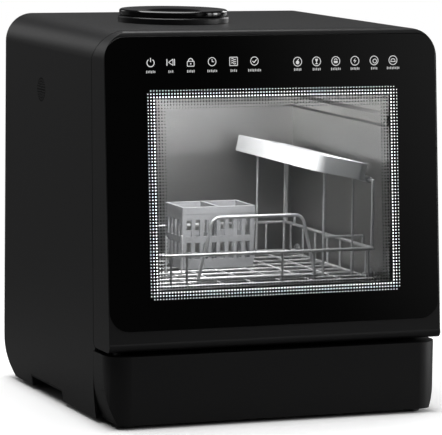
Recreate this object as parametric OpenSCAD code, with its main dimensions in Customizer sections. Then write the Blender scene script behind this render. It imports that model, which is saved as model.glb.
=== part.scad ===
// Countertop dishwasher: a black housing with a drop-down glass door, a lit tub with a
// wire rack, a sloping cup shelf, a built-in water tank and a round filler on the top.
// The origin lies on the table under the middle of the housing. The door faces -Y.

/* [Housing] */
// Width over the side panels
body_w = 420; // [400:1:460]
// Depth from the base front cover to the rear edge
body_d = 394; // [390:1:430]
// Height of the top panel above the table
body_top = 458; // [440:1:500]
// Wall of the housing
shell_t = 3; // [2:0.5:4]
// Outer radius of the two top corners
top_r = 34; // [20:1:45]
// How far each side panel curves in at its lower edge
side_in = 4; // [0:1:8]
// Height over which the sides curve in
side_in_h = 60; // [40:1:75]
// How far the rear curves in at its lower edge
rear_in = 36; // [15:1:40]
// Height over which the rear curves in
rear_in_h = 50; // [40:1:60]
// Gap between two covers that meet
joint_gap = 0.3; // [0.2:0.1:0.5]
// Height of the rubber feet
foot_h = 5; // [4:0.5:9]
// Radius of a rubber foot
foot_r = 11; // [7:0.5:12]

/* [Base] */
// Height of the base front cover's upper edge
base_top = 85; // [82:0.5:85]
// Upright corner radius of the base front cover
base_corner_r = 28; // [18:1:34]
// How far the base front cover's sides curve in at its lower edge
base_side_in = 12; // [6:1:13]
// Height of the base tray's walls
tray_top = 64; // [50:1:66]
// Length of a carry grip along the side
grip_l = 118; // [90:1:140]
// Height of a carry grip's opening above the table
grip_top = 19; // [16:1:24]
// Depth of a carry grip into the housing
grip_depth = 30; // [22:1:34]

/* [Door] */
// Height of the door's lower edge
door_z0 = 90; // [88:0.5:92]
// Lean of the door's front face, degrees
face_lean = 4.88; // [3:0.1:6]
// Lean of the seam between door and housing, degrees
seam_lean = 2.75; // [1:0.1:4]
// Depth of the seam behind the door's front lower edge
seam_depth = 54.5; // [54:0.1:56]
// Wall of the door shell
door_t = 3; // [2.5:0.5:3.5]
// Thickness of the front glass
glass_t = 4; // [3:0.5:4]
// How far the front glass stands proud
glass_proud = 0.6; // [0.2:0.1:1]
// Border between the door's side and the glass
glass_side = 1.5; // [1.5:0.5:6]
// Height of the glass's lower edge above the door's
glass_low = 24; // [20:1:28]
// Drop of the glass's upper edge below the top panel
glass_high = 6; // [6:0.5:12]
// Corner radius of the front glass
glass_r = 24; // [18:1:30]
// Distance from the housing's side to the window
window_side = 50.5; // [48:0.5:65]
// Height of the window's lower edge above the table
win_z0 = 154; // [152:1:160]
// Drop of the window's upper edge below the top panel
window_drop = 71; // [68:1:88]
// Corner radius of the window
win_r = 6; // [3:1:12]

/* [Tub and rack] */
// Space between each side of the housing and the tub
side_space = 42; // [40:1:44]
// Space between the top panel and the tub's ceiling
roof_space = 38; // [36:1:44]
// Height of the tub's floor above the table
tub_z0 = 118; // [117:0.5:119]
// Distance from the housing's rear edge to the tub's rear wall
tub_rear_gap = 30; // [26:1:40]
// Sheet thickness of the tub
tub_t = 2; // [1.5:0.5:2.5]
// Space between each side of the tub and the rack
rack_side_gap = 14; // [14:1:22]
// Height of the rack's side rails above its floor wires
rack_h = 37; // [30:1:45]
// Diameter of the rack's frame wires
frame_wire = 4; // [3:0.5:4.5]
// Diameter of the rack's thin wires
thin_wire = 3; // [2:0.5:3]
// Radius of a rack wheel
wheel_r = 8; // [7:0.5:8.5]
// Length of the cup shelf from front to rear
shelf_l = 261; // [220:1:261]
// Width of the cup shelf
shelf_w = 78; // [60:1:84]
// Height of the cup shelf's rim
shelf_rim = 20; // [12:1:22]
// Slope of the cup shelf, degrees
shelf_tilt = 11.5; // [8:0.5:15]
// Radius of the spray arm's sweep
spray_r = 130; // [110:1:132]

/* [Filler] */
// Radius of the filler collar
filler_r = 67; // [58:1:70]
// Distance of the filler's centre left of the middle
filler_left = 62; // [50:1:80]
// Height of the collar's lower tier
collar_h = 7.5; // [6:0.5:10]
// Height of the cap's rim above the collar
cap_h = 8; // [7:0.5:11]
// Radius of the dish in the cap
dish_r = 33; // [26:1:40]

/* [Hidden] */
$fn = 64;
ARC_STEPS = 10;
IN_POWER = 2.5;
FAR = 600;
CUT = 1;
TOUCH = 0.1;
half_w = body_w / 2;
front_y = -body_d / 2;
rear_y = body_d / 2;
cover_in = 1.8;
cover_y = rear_y - cover_in;
cover_in_y = cover_y - shell_t;

// Door planes and the hinge line
face_in = 2;
face_y0 = front_y + face_in;
seam_y0 = face_y0 + seam_depth;
door_gap = 1;
hinge_in = 15;
hinge_up = 12;
hinge_y = face_y0 + hinge_in;
hinge_z = door_z0 + hinge_up;
door_toe_r = 7;
door_heel_r = 8;
door_sweep_r = norm([face_y0 + door_toe_r - hinge_y, door_z0 + door_toe_r - hinge_z]) + door_toe_r
  + door_gap;
panel_in = 5.5;
panel_y = seam_y0 - panel_in;
panel_t = 3;
recess = glass_t - glass_proud;
glass_bed = 0.05;
glass_play = 0.15;
seam_top_drop = 33;
seam_top_in = 5.5;
seam_top_z = body_top - seam_top_drop;
seam_top_y = seam_y0 - seam_top_in;
face_top_r = 6;
win_w = body_w - 2 * window_side;
win_z1 = body_top - window_drop;
panel_window_side = 3;
panel_window_low = 2.5;
panel_window_high = 6;
pane_t = 3;
pane_side = 9;
pane_low = 0.6;
pane_high = 12;
pane_r = 6;

// Hinge
pin_r = 3;
pin_play = 0.05;
pin_fit = 0.02;
pin_end = 0.5;
arm_t = 4;
arm_side = 20;
arm_x = half_w - arm_side;
arm_half_h = 4;
arm_back = 2.5;
arm_l = 34;
arm_strap_l = 20;
arm_foot_w = 12;
arm_foot_t = 2.5;
ear_t = 4;
ear_play = 0.3;
eye_r = 6;
ear_edge = 1;
slot_play = 2;
pin_hole_l = 15;

// Tub
tub_w = body_w - 2 * side_space;
tub_front_gap = 4;
tub_front_y = panel_y + tub_front_gap;
tub_rear_y = rear_y - tub_rear_gap;
tub_top = body_top - roof_space;
flange_t = 3;
flange_w = 10;
flange_r = 10;
seal_w = 6;
seal_gap = 0.3;
seal_out = 8;
seal_low = 6;
seal_r = 10;
seal_in_r = 5;
ledge_drop = 84;
ledge_z = tub_top - ledge_drop;
ledge_h = 18;
ledge_out = 4;
ledge_front = 12;
post_r = 7;
post_side = 18;
post_front = 30;
post_rear = 20;
rail_w = 12;
rail_t = 4;
rail_up = 30;
rail_front = 6;
rail_foot = 8;
rail_foot_front = 20;
rail_foot_rear = 30;
strip_end = 38;
strip_front = 4;
strip_w = 8;
strip_h = 5;

// Sump, filter, pumps and heater
sump_x = 0;
sump_y = 12;
sump_r = 52;
sump_depth = 46;
sump_wall = 6;
sump_floor = 3;
sump_z0 = tub_z0 - tub_t - sump_depth;
filter_x = 62;
filter_y = 92;
filter_r = 24;
filter_wall = 3;
filter_lap = 2;
bridge_w = 28;
bridge_edge = 1;
bridge_in_w = 20;
bridge_in_z = 4;
bridge_in_h = 20;
basket_play = 2.5;
basket_wall = 1.5;
basket_lift_gap = 0.3;
filter_rim_t = 2;
filter_rim_out = 1;
filter_slot_w = 2;
filter_slot_low = 8;
filter_slot_high = 12;
filter_grip_w = 3;
filter_grip_drop = 8;
pump_up = 22;
pump_z = sump_z0 + pump_up;
pump_r = 21;
pump_head_l = 24;
pump_wall = 3;
pump_l = 74;
pump_gap = 0.3;
pump_y1 = sump_y - sump_r - pump_gap;
pump_y0 = pump_y1 - pump_l;
pump_rear_wall = 8;
spigot_r = 8.8;
spigot_l = 5;
spigot_wall = 2;
spigot_play = 0.2;
impeller_r = 15;
impeller_play = 2;
impeller_disc = 3;
blade_t = 1.6;
blade_l = 9;
shaft_r = 2.5;
shaft_front = 7;
drain_up = 14;
drain_z = sump_z0 + drain_up;
drain_hole_r = 7;
drain_play = 0.2;
drain_head_l = 22;
drain_head_r = 14;
drain_motor_l = 34;
drain_motor_r = 12;
heater_ring_r = 34;
heater_r = 3.5;
heater_up = 7;
heater_foot_r = 2;
heater_foot_h = 5;
heater_foot_gap = 0.1;

// Spray arm
hub_up = 9;
hub_z = tub_z0 + hub_up;
hub_flange_r = 20;
hub_flange_t = 3;
hub_r = 10;
hub_bore_r = 4;
hub_sink = 0.1;
arm_h = 11;
bearing_r = 6;
bearing_up = 1;
boss_r = 19;
spray_gap = 0.3;
spray_turn = 25;
spray_tip_r = 11;
spray_edge = 1;
jet_r = 1.4;
jet_first = 30;
jet_pitch = 20;
jet_out = 3.5;
jet_z = 6;
nut_h = 4;
nut_r = 12;
nut_knob_r = 1.5;
nut_sink = 1.6;
nut_play = 0.2;
nut_gap = 0.3;

// Rack
rack_w = tub_w - 2 * rack_side_gap;
rack_front_in = 21;
rack_rear_in = 18;
rack_front_y = panel_y + rack_front_in + frame_wire / 2;
rack_rear_y = tub_rear_y - rack_rear_in;
rail_z = tub_z0 + rail_up;
wheel_gap_z = 0.1;
wheel_z = rail_z + wheel_r + wheel_gap_z;
floor_up = 5;
floor_z = rail_z + floor_up;
rack_x = rack_w / 2 - frame_wire / 2;
top_z = floor_z + rack_h;
weld_gap = 0.1;
wheel_w = 5;
wheel_gap = 2;
wheel_x = rack_x + frame_wire / 2 + wheel_gap;
wheel_edge = 1;
wheel_hole_r = 1.2;
wheel_hole_out = 4.9;
axle_r = 2;
axle_end = 1.5;
wheel_play = 0.05;
wheel_inset = 24;
axle_y = [rack_front_y + wheel_inset, rack_rear_y - wheel_inset];
cross_wires = 9;
long_wires = 8;
side_posts = 7;
back_pitch = 42;
back_posts = 3;
front_end = 6;
front_posts = [front_end - rack_x, -108, -88, 34, 75, rack_x - front_end];
hoop_x = 14;
hoop_lean = 14;
hoop_r = 12;
hoop_half = 76;
hoop_h = 77;
hoop_top = floor_z + hoop_h;
wire_fit = 0.1;
lap = 0.4;
tine_side = 12;
tine_pitch = 20;
tine_count = 5;
tine_h = 46;
tine_end = 4;

// Cup shelf
shelf_up = 82;
shelf_axis_x = rack_x;
shelf_axis_z = top_z + shelf_up;
shelf_mid_y = (rack_front_y + rack_rear_y) / 2;
shelf_y0 = shelf_mid_y - shelf_l / 2;
shelf_y1 = shelf_mid_y + shelf_l / 2;
shelf_pin_r = 2;
shelf_floor = 2.5;
shelf_drop = 2;
shelf_wall = 2.2;
shelf_r = 14;
shelf_lip = 1.5;
knuckle_r = 4;
knuckle_l = 30;
knuckle_in = 10;
knuckle_rear = 40;
knuckle_rib = 3;
knuckle_rib_h = 1.4;
shelf_slot_w = 5;
shelf_slot_l = 16;
shelf_slot_r = 2.4;
shelf_slot_pitch = 12;
shelf_slot_side = 16;
shelf_slot_stop = 20;
shelf_slot_rows = 7;
shelf_slot_y0 = 24;
shelf_slot_run = 60;
shelf_bore_end = 9;
rod_end = 2.3;
brace_up = 12;
leg_gap = 0.3;
leg_in = [52, 14];
leg_x = [for (d = leg_in) shelf_axis_x - d];

// Cutlery basket
basket_x0 = -45;
basket_x1 = 50;
basket_y0 = 5;
basket_y1 = 65;
basket_h = 76;
basket_t = 2;
basket_slot_w = 6;
basket_slot_h = 20;
basket_slot_x = 9;
basket_slot_y = 11;
basket_pitch_x = 11;
basket_pitch_y = 12;
basket_slot_end = 8;
basket_slot_z = [12, 40, 68];

// Filler and tank
filler_x = -filler_left;
filler_y = 0;
throat_r = 28;
throat_t = 2;
collar_edge = 1;
collar_land = 4;
funnel_lift = 0.2;
funnel_t = 2;
cap_gap = 0.3;
cap_plug_h = 8;
cap_plug_in = 3;
cap_in = 1.6;
cap_low_bevel = 1.4;
cap_edge = 1.8;
cap_edge_h = 1.6;
cap_land = 7.4;
dish_edge = 3;
dish_edge_h = 2.6;
dish_slope_in = 5;
dish_slope_h = 6.6;
dish_floor_r = 8;
dish_floor_h = 7.6;
cap_seal_h = 3;
cap_seal_up = 2;
cap_seal_play = 0.4;
cap_seal_fit = 0.02;
tank_t = 2.5;
tank_roof_gap = 2;
tank_top = body_top - shell_t - tank_roof_gap;
tank_low = tub_top + tub_t + joint_gap;
tank_side_z0 = 130;
tank_gap = 1.5;
tank_edge = 1;
tank_left = 34;
tank_front = 22;
tank_rear = 12;
neck_h = 8;

// Fan behind the round side vent
vent_y = 57;
vent_drop = 84;
vent_z = body_top - vent_drop;
vent_r = 15;
vent_hole_r = 1.1;
vent_pitch = 3.4;
fan_r = 30;
fan_wall = 2.5;
fan_gap = 5.7;
fan_clear = 0.3;
fan_x0 = -tub_w / 2 - tub_t - fan_clear;
fan_w = side_space - shell_t - tub_t - fan_clear - 2 * fan_wall - fan_gap;
fan_grille = 4;
fan_hub_r = 10;
fan_shaft_r = 2;
fan_shaft_out = 1.6;
fan_rotor_r = 8;
fan_front = 8;
fan_blade_in = 3;
fan_blade_t = 1.8;
fan_blade_r0 = 6;
fan_play = 1.5;
fan_ring_w = 6.5;
fan_ring_t = 1.5;

// Rear ports, cable gland, louvres and screws
port_up = 96;
port_x = [70, 120];
port_r = 9;
port_wall = 3.5;
port_flange = 5;
port_flange_t = 3;
port_in = 22;
port_bore_in = 10;
rear_inset = 0.2;
gland_side = 60;
gland_x = gland_side - half_w;
gland_r = 8;
gland_bore_r = 4;
gland_flange = 4;
gland_flange_t = 6;
gland_in = 16;
louvre_x = 100;
louvre_l = 60;
louvre_h = 4;
louvre_pitch = 9;
louvre_count = 8;
louvre_drop = 128;
louvre_z = body_top - louvre_drop;
screw_side = 18;
screw_top_side = 27.6;
screw_low_z = 82;
screw_drop = 16;
screw_top_z = body_top - screw_drop;
screw_r = 1.6;
screw_l = 9;
screw_hole_r = 1.7;
screw_head_r = 3.2;
screw_head_t = 1.5;
screw_cross_l = 4.4;
screw_cross_w = 0.8;
screw_places = concat(
  [for (s = [-1, 1]) [s * (half_w - screw_side), screw_low_z]], [[0, screw_low_z]],
  [for (s = [-1, 1]) [s * (half_w - screw_side), (screw_low_z + screw_top_z) / 2]],
  [for (s = [-1, 1]) [s * (half_w - screw_top_side), screw_top_z]], [[0, screw_top_z]]);

// Base, feet and grips
grip_y = 36;
grip_t = 2;
foot_side = 28;
foot_front = 22;
foot_rear = 58;
foot_edge = 1;
foot_edge_h = 1.2;
foot_stem_r = 4;
foot_stem_up = 2;
foot_stem_play = 0.1;
foot_hole_h = 20;
foot_places = [for (x = [foot_side - half_w, half_w - foot_side],
  y = [front_y + foot_front, rear_y - foot_rear]) [x, y]];

// Board, dispenser and latch
board_side = 45;
board_low = 16;
board_high = 18;
board_gap = 0.3;
board_t = 1.6;
chip_w = 12;
chip_h = 10;
chip_t = 3.5;
chip_sink = 0.1;
chip_first = 120;
chip_pitch = 48;
cup_x0 = 28;
cup_x1 = 92;
cup_up = 3.5;
cup_h = 24.5;
cup_z0 = tub_z0 + cup_up;
cup_z1 = cup_z0 + cup_h;
cup_depth = 20;
cup_wall = 4;
cup_floor = 2;
cup_gap = 0.3;
cup_ear_t = 2;
cup_ear_low = 5;
cup_ear_in = 1;
cup_ear_out = 4.8;
cup_ear_up = 2.2;
lid_gap = 0.4;
lid_t = 2;
lid_axis_out = 2.4;
lid_axis_up = 1.2;
lid_axis_y = panel_y + lid_axis_out;
lid_axis_z = cup_z1 + lid_axis_up;
lid_hinge_r = 2.1;
lid_pin_r = 1;
lid_pin_in = 0.2;
lid_low = 0.5;
lid_back = 0.3;
lid_tab_w = 16;
lid_tab_low = 2.5;
lid_tab_h = 3.5;
lid_tab_t = 1.4;
latch_up = 4;
latch_z = tub_top + flange_w + latch_up;
latch_back = 17;
latch_y1 = tub_front_y + latch_back;
bolt_back = 10;
bolt_y = tub_front_y + bolt_back;
bolt_r = 2;
bolt_hole_play = 1;
bolt_low = 10.8;
bolt_high = 20.5;
tongue_half_w = 8;
tongue_t = 6;
tongue_end = 3;
tongue_foot_w = 14;
tongue_foot_t = 2;
tongue_foot_low = 3;
tongue_foot_high = 12;
receiver_half_w = 14;
receiver_in_w = 10;
receiver_wall = 1.5;
receiver_low = 2;
receiver_in_high = 10.5;
receiver_high = 16;

// Helpers: extrusions along an axis, bars and boxes
module along_y(y0, y1) {
  translate([0, y1, 0]) rotate([90, 0, 0]) linear_extrude(y1 - y0) children();
}
module along_x(x0, x1) {
  translate([x0, 0, 0]) rotate([90, 0, 90]) linear_extrude(x1 - x0) children();
}
module bar_x(x0, x1, y, z, d) {
  translate([x0, y, z]) rotate([0, 90, 0]) cylinder(h = x1 - x0, d = d);
}
module bar_y(y0, y1, x, z, d) {
  translate([x, y1, z]) rotate([90, 0, 0]) cylinder(h = y1 - y0, d = d);
}
module bar_z(z0, z1, x, y, d) {
  translate([x, y, z0]) cylinder(h = z1 - z0, d = d);
}
module box(x0, x1, y0, y1, z0, z1) {
  translate([x0, y0, z0]) cube([x1 - x0, y1 - y0, z1 - z0]);
}
module round_rect(x0, x1, y0, y1, r) {
  translate([x0 + r, y0]) square([x1 - x0 - 2 * r, y1 - y0]);
  translate([x0, y0 + r]) square([x1 - x0, y1 - y0 - 2 * r]);
  for (x = [x0 + r, x1 - r], y = [y0 + r, y1 - r]) translate([x, y]) circle(r);
}

// How far an edge that curves in by depth over height h has moved at height z
function curve_in(z, depth, h) = depth * pow(max(0, 1 - (z - foot_h) / h), IN_POWER);
function side_x(z, i, depth) = half_w - i - curve_in(z, depth, side_in_h);
function rear_edge(z, i) = rear_y - i - curve_in(z, rear_in, rear_in_h);
function seam_y(z) = seam_y0 + (z - door_z0) * tan(seam_lean);
function face_y(z) = face_y0 + (z - door_z0) * tan(face_lean);
function slope(z) = (z - door_z0) / cos(face_lean);
function steps(a, b, n) = [for (k = [0:n]) a + (b - a) * k / n];
function shelf_under(x) = shelf_axis_z + (shelf_axis_x - x) * tan(shelf_tilt)
  - shelf_drop / cos(shelf_tilt);

// Places of the rack's wires from front to rear
floor_y = steps(rack_front_y, rack_rear_y, cross_wires);
side_y = [for (k = [1:side_posts])
  rack_front_y + (rack_rear_y - rack_front_y) * (k - 0.5) / side_posts];
leg_y = [floor_y[1], floor_y[8]];

// Front view of the housing, i inside its outer face and reaching down to z0, with its lower
// sides curved in by depth
module outline(i, z0, depth = side_in) {
  low = steps(foot_h, foot_h + side_in_h, ARC_STEPS);
  r = top_r - i;
  z1 = foot_h + side_in_h;
  top = body_top - i;
  x1 = half_w - i;
  polygon(concat(
    [[side_x(foot_h, i, depth), z0]], [for (z = low) [side_x(z, i, depth), z]],
    [for (k = [len(low) - 1:-1:0]) [-side_x(low[k], i, depth), low[k]]],
    [[-side_x(foot_h, i, depth), z0]]));
  translate([-x1, z1 - CUT]) square([2 * x1, top - r - z1 + CUT]);
  translate([r - x1, top - r - CUT]) square([2 * (x1 - r), r + CUT]);
  for (x = [r - x1, x1 - r]) translate([x, top - r]) circle(r);
}

// Side view of the housing, i inside its rear face, from z0 up to the top
module side_view(i, z0, y0) {
  low = steps(foot_h, foot_h + rear_in_h, ARC_STEPS);
  polygon(concat(
    [[y0, z0], [rear_edge(foot_h, i), z0]], [for (z = low) [rear_edge(z, i), z]],
    [[rear_y - i, body_top + CUT], [y0, body_top + CUT]]));
}

// Side view of the door: leaning face, leaning seam and rounded lower corners
module door_side(i, back) {
  r0 = door_toe_r - i;
  r1 = door_heel_r - i;
  z0 = door_z0 + i;
  yf = face_y(door_z0) + i / cos(face_lean);
  rt = face_top_r - i;
  zt = body_top - i - rt;
  yt = face_y(body_top - face_top_r) + i + rt;
  face_arc = [for (a = steps(0, 90, ARC_STEPS)) [yt - rt * sin(a), zt + rt * cos(a)]];
  difference() {
    polygon(concat([[yf, z0], [back, z0]],
      [[back + (seam_top_z - door_z0) * tan(seam_lean), seam_top_z]],
      [[seam_top_y - i, body_top - i]], face_arc));
    translate([yf - CUT, z0 - CUT]) square([r0 + CUT, r0 + CUT]);
    translate([back - r1, z0 - CUT]) square([r1 + CUT, r1 + CUT]);
  }
  translate([yf + r0, z0 + r0]) circle(r0);
  translate([back - r1, z0 + r1]) circle(r1);
}

// Places children on the door's leaning face: x across, y up the slope, z outwards
module on_face(out) {
  translate([0, face_y0, door_z0]) rotate([90 - face_lean, 0, 0])
    translate([0, 0, out]) children();
}
module housing_block(i, z0) {
  intersection() {
    along_y(-FAR, FAR) outline(i, z0);
    along_x(-FAR, FAR) side_view(i, z0, -FAR);
  }
}

// Housing
module vent_holes(x0, x1) {
  rings = floor(vent_r / vent_pitch);
  for (ring = [0:rings], k = [0:max(0, 6 * ring - 1)]) {
    a = ring == 0 ? 0 : 60 * k / ring;
    bar_x(x0, x1, vent_y + ring * vent_pitch * cos(a), vent_z + ring * vent_pitch * sin(a),
      2 * vent_hole_r);
  }
}
module outer_shell() {
  toe_y = seam_y0 + joint_gap;
  color("#1b1b1c") difference() {
    housing_block(0, foot_h);
    along_y(-FAR, FAR) outline(shell_t, -CUT);
    along_x(-FAR, FAR) door_side(-door_gap, seam_y0 + door_gap);
    box(-FAR, FAR, -FAR, seam_top_y + door_gap, base_top + CUT, FAR);
    box(-FAR, FAR, -FAR, toe_y, -CUT, base_top + CUT);
    bar_x(-FAR, FAR, hinge_y, hinge_z, 2 * door_sweep_r);
    bar_z(body_top - shell_t - CUT, body_top + CUT, filler_x, filler_y,
      2 * (throat_r + throat_t + joint_gap));
    vent_holes(-half_w - CUT, -half_w + shell_t + CUT);
    for (side = [-1, 1]) grip_window(side, 0);
  }
}
module grip_window(side, i) {
  y0 = grip_y - grip_l / 2;
  reach = grip_depth + CUT + i;
  translate([side * half_w, 0, 0])
    box(-reach, reach, y0 - i, y0 + grip_l + i, -CUT, grip_top + i);
}
module rear_cover() {
  color("#202021") difference() {
    intersection() {
      along_y(cover_in_y, cover_y) outline(shell_t + joint_gap, -CUT);
      box(-FAR, FAR, -FAR, FAR, tray_top + joint_gap, FAR);
    }
    for (x = port_x) bar_y(0, FAR, x, port_up, 2 * (port_r + joint_gap));
    bar_y(0, FAR, gland_x, port_up, 2 * (gland_r + joint_gap));
    for (k = [0:louvre_count - 1], s = [-1, 1])
      box(s * louvre_x - louvre_l / 2, s * louvre_x + louvre_l / 2, 0, FAR,
        louvre_z + louvre_pitch * k, louvre_z + louvre_pitch * k + louvre_h);
    for (p = screw_places) bar_y(0, FAR, p[0], p[1], 2 * screw_hole_r);
  }
}
module case_screws() {
  cross = [screw_cross_l, screw_cross_w];
  color("#55565a") for (p = screw_places) translate([p[0], cover_y, p[1]])
    rotate([90, 0, 0]) {
      translate([0, 0, -screw_head_t]) difference() {
        cylinder(h = screw_head_t, r = screw_head_r);
        for (k = [0, 1]) translate([-cross[k] / 2, -cross[1 - k] / 2, -CUT])
          cube([cross[k], cross[1 - k], CUT + screw_cross_w]);
      }
      cylinder(h = screw_l, r = screw_r);
    }
}
module base_tray() {
  i = shell_t + joint_gap;
  color("#161617") difference() {
    tray_block(i, joint_gap, foot_h);
    tray_block(i + shell_t, joint_gap + shell_t, foot_h + shell_t);
    for (p = foot_places)
      bar_z(0, foot_hole_h, p[0], p[1], 2 * (foot_stem_r + foot_stem_play));
    for (side = [-1, 1]) grip_window(side, shell_t + joint_gap);
  }
}
module tray_block(i, rear_i, z0) {
  intersection() {
    along_y(-FAR, FAR) outline(i, z0, base_side_in);
    along_x(-FAR, FAR) side_view(rear_i, z0, -FAR);
    linear_extrude(tray_top + z0 - foot_h) front_plan(i);
    box(-FAR, FAR, -FAR, FAR, z0, tray_top + z0 - foot_h);
  }
}
module rubber_feet() {
  color("#8d8d8c") for (p = foot_places) translate([p[0], p[1], 0]) {
    cylinder(h = foot_edge_h, r = foot_r - foot_edge);
    translate([0, 0, foot_edge_h]) cylinder(h = foot_h - foot_edge_h, r = foot_r);
    cylinder(h = foot_h + shell_t + foot_stem_up, r = foot_stem_r);
  }
}
module front_plan(i) {
  x1 = half_w - i;
  y0 = front_y + i;
  r = base_corner_r - i;
  translate([r - x1, y0]) square([2 * (x1 - r), 2 * base_corner_r]);
  translate([-x1, y0 + r]) square([2 * x1, FAR]);
  for (x = [r - x1, x1 - r]) translate([x, y0 + r]) circle(r);
}
module base_front_cover() {
  color("#1b1b1c") intersection() {
    along_y(-FAR, FAR) outline(0, foot_h, base_side_in);
    box(-FAR, FAR, front_y, seam_y0, foot_h, base_top);
    difference() {
      translate([0, 0, foot_h]) linear_extrude(base_top - foot_h) front_plan(0);
      intersection() {
        translate([0, 0, -CUT]) linear_extrude(base_top - shell_t + CUT) front_plan(shell_t);
        along_y(-FAR, FAR) outline(shell_t, -CUT, base_side_in);
      }
    }
  }
}
module carry_grip() {
  y0 = grip_y - grip_l / 2 + joint_gap;
  y1 = grip_y + grip_l / 2 - joint_gap;
  x0 = half_w - grip_depth;
  z1 = grip_top - joint_gap;
  t = grip_t;
  color("#141415") intersection() {
    difference() {
      box(x0, half_w, y0, y1, foot_h, z1);
      along_y(y0 + t, y1 - t) polygon([[x0 + t, foot_h - CUT], [FAR, foot_h - CUT],
        [FAR, z1 - t], [x0 + grip_depth / 2, z1 - t], [x0 + t, foot_h]]);
    }
    along_y(-FAR, FAR) outline(joint_gap, foot_h);
  }
}
module carry_grips() {
  carry_grip();
  mirror([1, 0, 0]) carry_grip();
}

// Filler, cap and water tank
module filler_collar() {
  color("#29292a") translate([filler_x, filler_y, body_top]) difference() {
    union() {
      cylinder(h = collar_h - collar_edge, r = filler_r);
      translate([0, 0, collar_h - collar_edge]) cylinder(h = collar_edge,
        r = filler_r - collar_edge);
    }
    translate([0, 0, -CUT]) cylinder(h = collar_h + 2 * CUT, r = dish_r + collar_land);
  }
}
module filler_funnel() {
  r1 = dish_r + collar_land - joint_gap;
  r0 = throat_r + throat_t;
  z0 = tank_top - tank_t - neck_h;
  z1 = body_top + funnel_lift;
  z2 = body_top + collar_h - collar_edge;
  color("#202021") translate([filler_x, filler_y, 0]) rotate_extrude()
    polygon([[throat_r, z0], [r0, z0], [r0, z1], [r1, z1], [r1, z2], [r1 - funnel_t, z2],
      [r1 - funnel_t, z1 + funnel_t], [throat_r, z1 + funnel_t]]);
}
module filler_cap() {
  z0 = body_top + collar_h + cap_gap;
  z1 = body_top + collar_h + cap_h;
  r1 = filler_r - cap_in;
  plug_r = throat_r - cap_plug_in;
  color("#0c0c0d") translate([filler_x, filler_y, 0]) rotate_extrude() polygon([
    [0, z0 - cap_plug_h], [plug_r, z0 - cap_plug_h], [plug_r, z0], [r1 - cap_low_bevel, z0],
    [r1, z0 + cap_low_bevel], [r1, z1 - cap_edge_h], [r1 - cap_edge, z1], [r1 - cap_land, z1],
    [dish_r + dish_edge, z1 - cap_edge_h], [dish_r, z1 - dish_edge_h],
    [throat_r - dish_slope_in, z1 - dish_slope_h], [dish_floor_r, z1 - dish_floor_h],
    [0, z1 - dish_floor_h]]);
}
module cap_seal() {
  z0 = body_top + collar_h + cap_gap - cap_plug_h + cap_seal_up;
  color("#4a4a4c") translate([filler_x, filler_y, z0]) difference() {
    cylinder(h = cap_seal_h, r = throat_r - cap_seal_play);
    translate([0, 0, -CUT]) cylinder(h = cap_seal_h + 2 * CUT,
      r = throat_r - cap_plug_in + cap_seal_fit);
  }
}
module tank_form(i) {
  x0 = filler_x - throat_r - tank_left + i;
  x1 = half_w - shell_t - tank_gap - i;
  x2 = tub_w / 2 + tub_t + tank_gap + i;
  y0 = tub_front_y + tank_front + i;
  y1 = rear_y - shell_t - tank_rear - i;
  r = top_r - shell_t - tank_gap - tank_edge;
  along_y(y0, y1) difference() {
    union() {
      translate([x0, tank_low + i]) square([x1 - r - x0, tank_top - tank_low - 2 * i]);
      translate([x2, tank_side_z0 + i]) square([x1 - x2, tank_top - r - tank_side_z0 - i]);
      translate([x2, tank_low + i]) square([x1 - r - x2, tank_top - tank_low - 2 * i]);
      translate([x1 - r + i, tank_top - r]) circle(r - i);
    }
    translate([x0 - CUT, 0]) square([x2 - x0 - i + CUT + i, tank_low + i]);
  }
}
module water_tank() {
  color("#b9c0c4", 0.6) difference() {
    tank_form(0);
    tank_form(tank_t);
    bar_z(tank_top - tank_t - neck_h, FAR, filler_x, filler_y,
      2 * (throat_r + throat_t + joint_gap));
  }
}

// Tub and what hangs on it
module tub() {
  x1 = tub_w / 2;
  color("#c9cacb") difference() {
    union() {
      box(-x1 - tub_t, x1 + tub_t, tub_front_y, tub_rear_y + tub_t, tub_z0 - tub_t, tub_top + tub_t);
      along_y(tub_front_y, tub_front_y + flange_t)
        round_rect(-x1 - flange_w, x1 + flange_w, tub_z0 - flange_w, tub_top + flange_w, flange_r);
    }
    difference() {
      box(-x1, x1, tub_front_y - CUT, tub_rear_y, tub_z0, tub_top);
      for (s = [-1, 1]) along_y(tub_front_y + ledge_front, tub_rear_y) polygon([
        [s * x1, ledge_z], [s * (x1 - ledge_out), ledge_z + ledge_out],
        [s * (x1 - ledge_out), ledge_z + ledge_h - ledge_out], [s * x1, ledge_z + ledge_h]]);
    }
    bar_z(sump_z0, tub_z0 + CUT, sump_x, sump_y, 2 * (sump_r - sump_wall));
    bar_z(sump_z0, tub_z0 + CUT, filter_x, filter_y, 2 * (filter_r - filter_lap));
    bar_x(-x1 - tub_t - CUT, -x1 + CUT, vent_y, vent_z, 2 * vent_r);
  }
}
module tub_posts() {
  x = tub_w / 2 - post_side;
  color("#2a2a2b") for (s = [-1, 1], y = [tub_front_y + post_front, tub_rear_y - post_rear])
    bar_z(foot_h + shell_t, tub_z0 - tub_t, s * x, y, 2 * post_r);
}
module rack_rails() {
  x = (tub_w - rail_w) / 2;
  color("#b4b5b6") for (s = [-1, 1]) translate([s * x, 0, 0]) {
    box(-rail_w / 2, rail_w / 2, tub_front_y + rail_front, tub_rear_y, rail_z - rail_t, rail_z);
    for (y = [tub_front_y + rail_foot_front, 0, tub_rear_y - rail_foot_rear])
      box(-rail_w / 2, rail_w / 2, y, y + rail_foot, tub_z0, rail_z - rail_t);
  }
}
module light_strip() {
  x = tub_w / 2 - strip_end;
  y0 = tub_front_y + strip_front;
  color("#f4f6f8") box(-x, x, y0, y0 + strip_w, tub_top - strip_h, tub_top);
}

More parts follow.
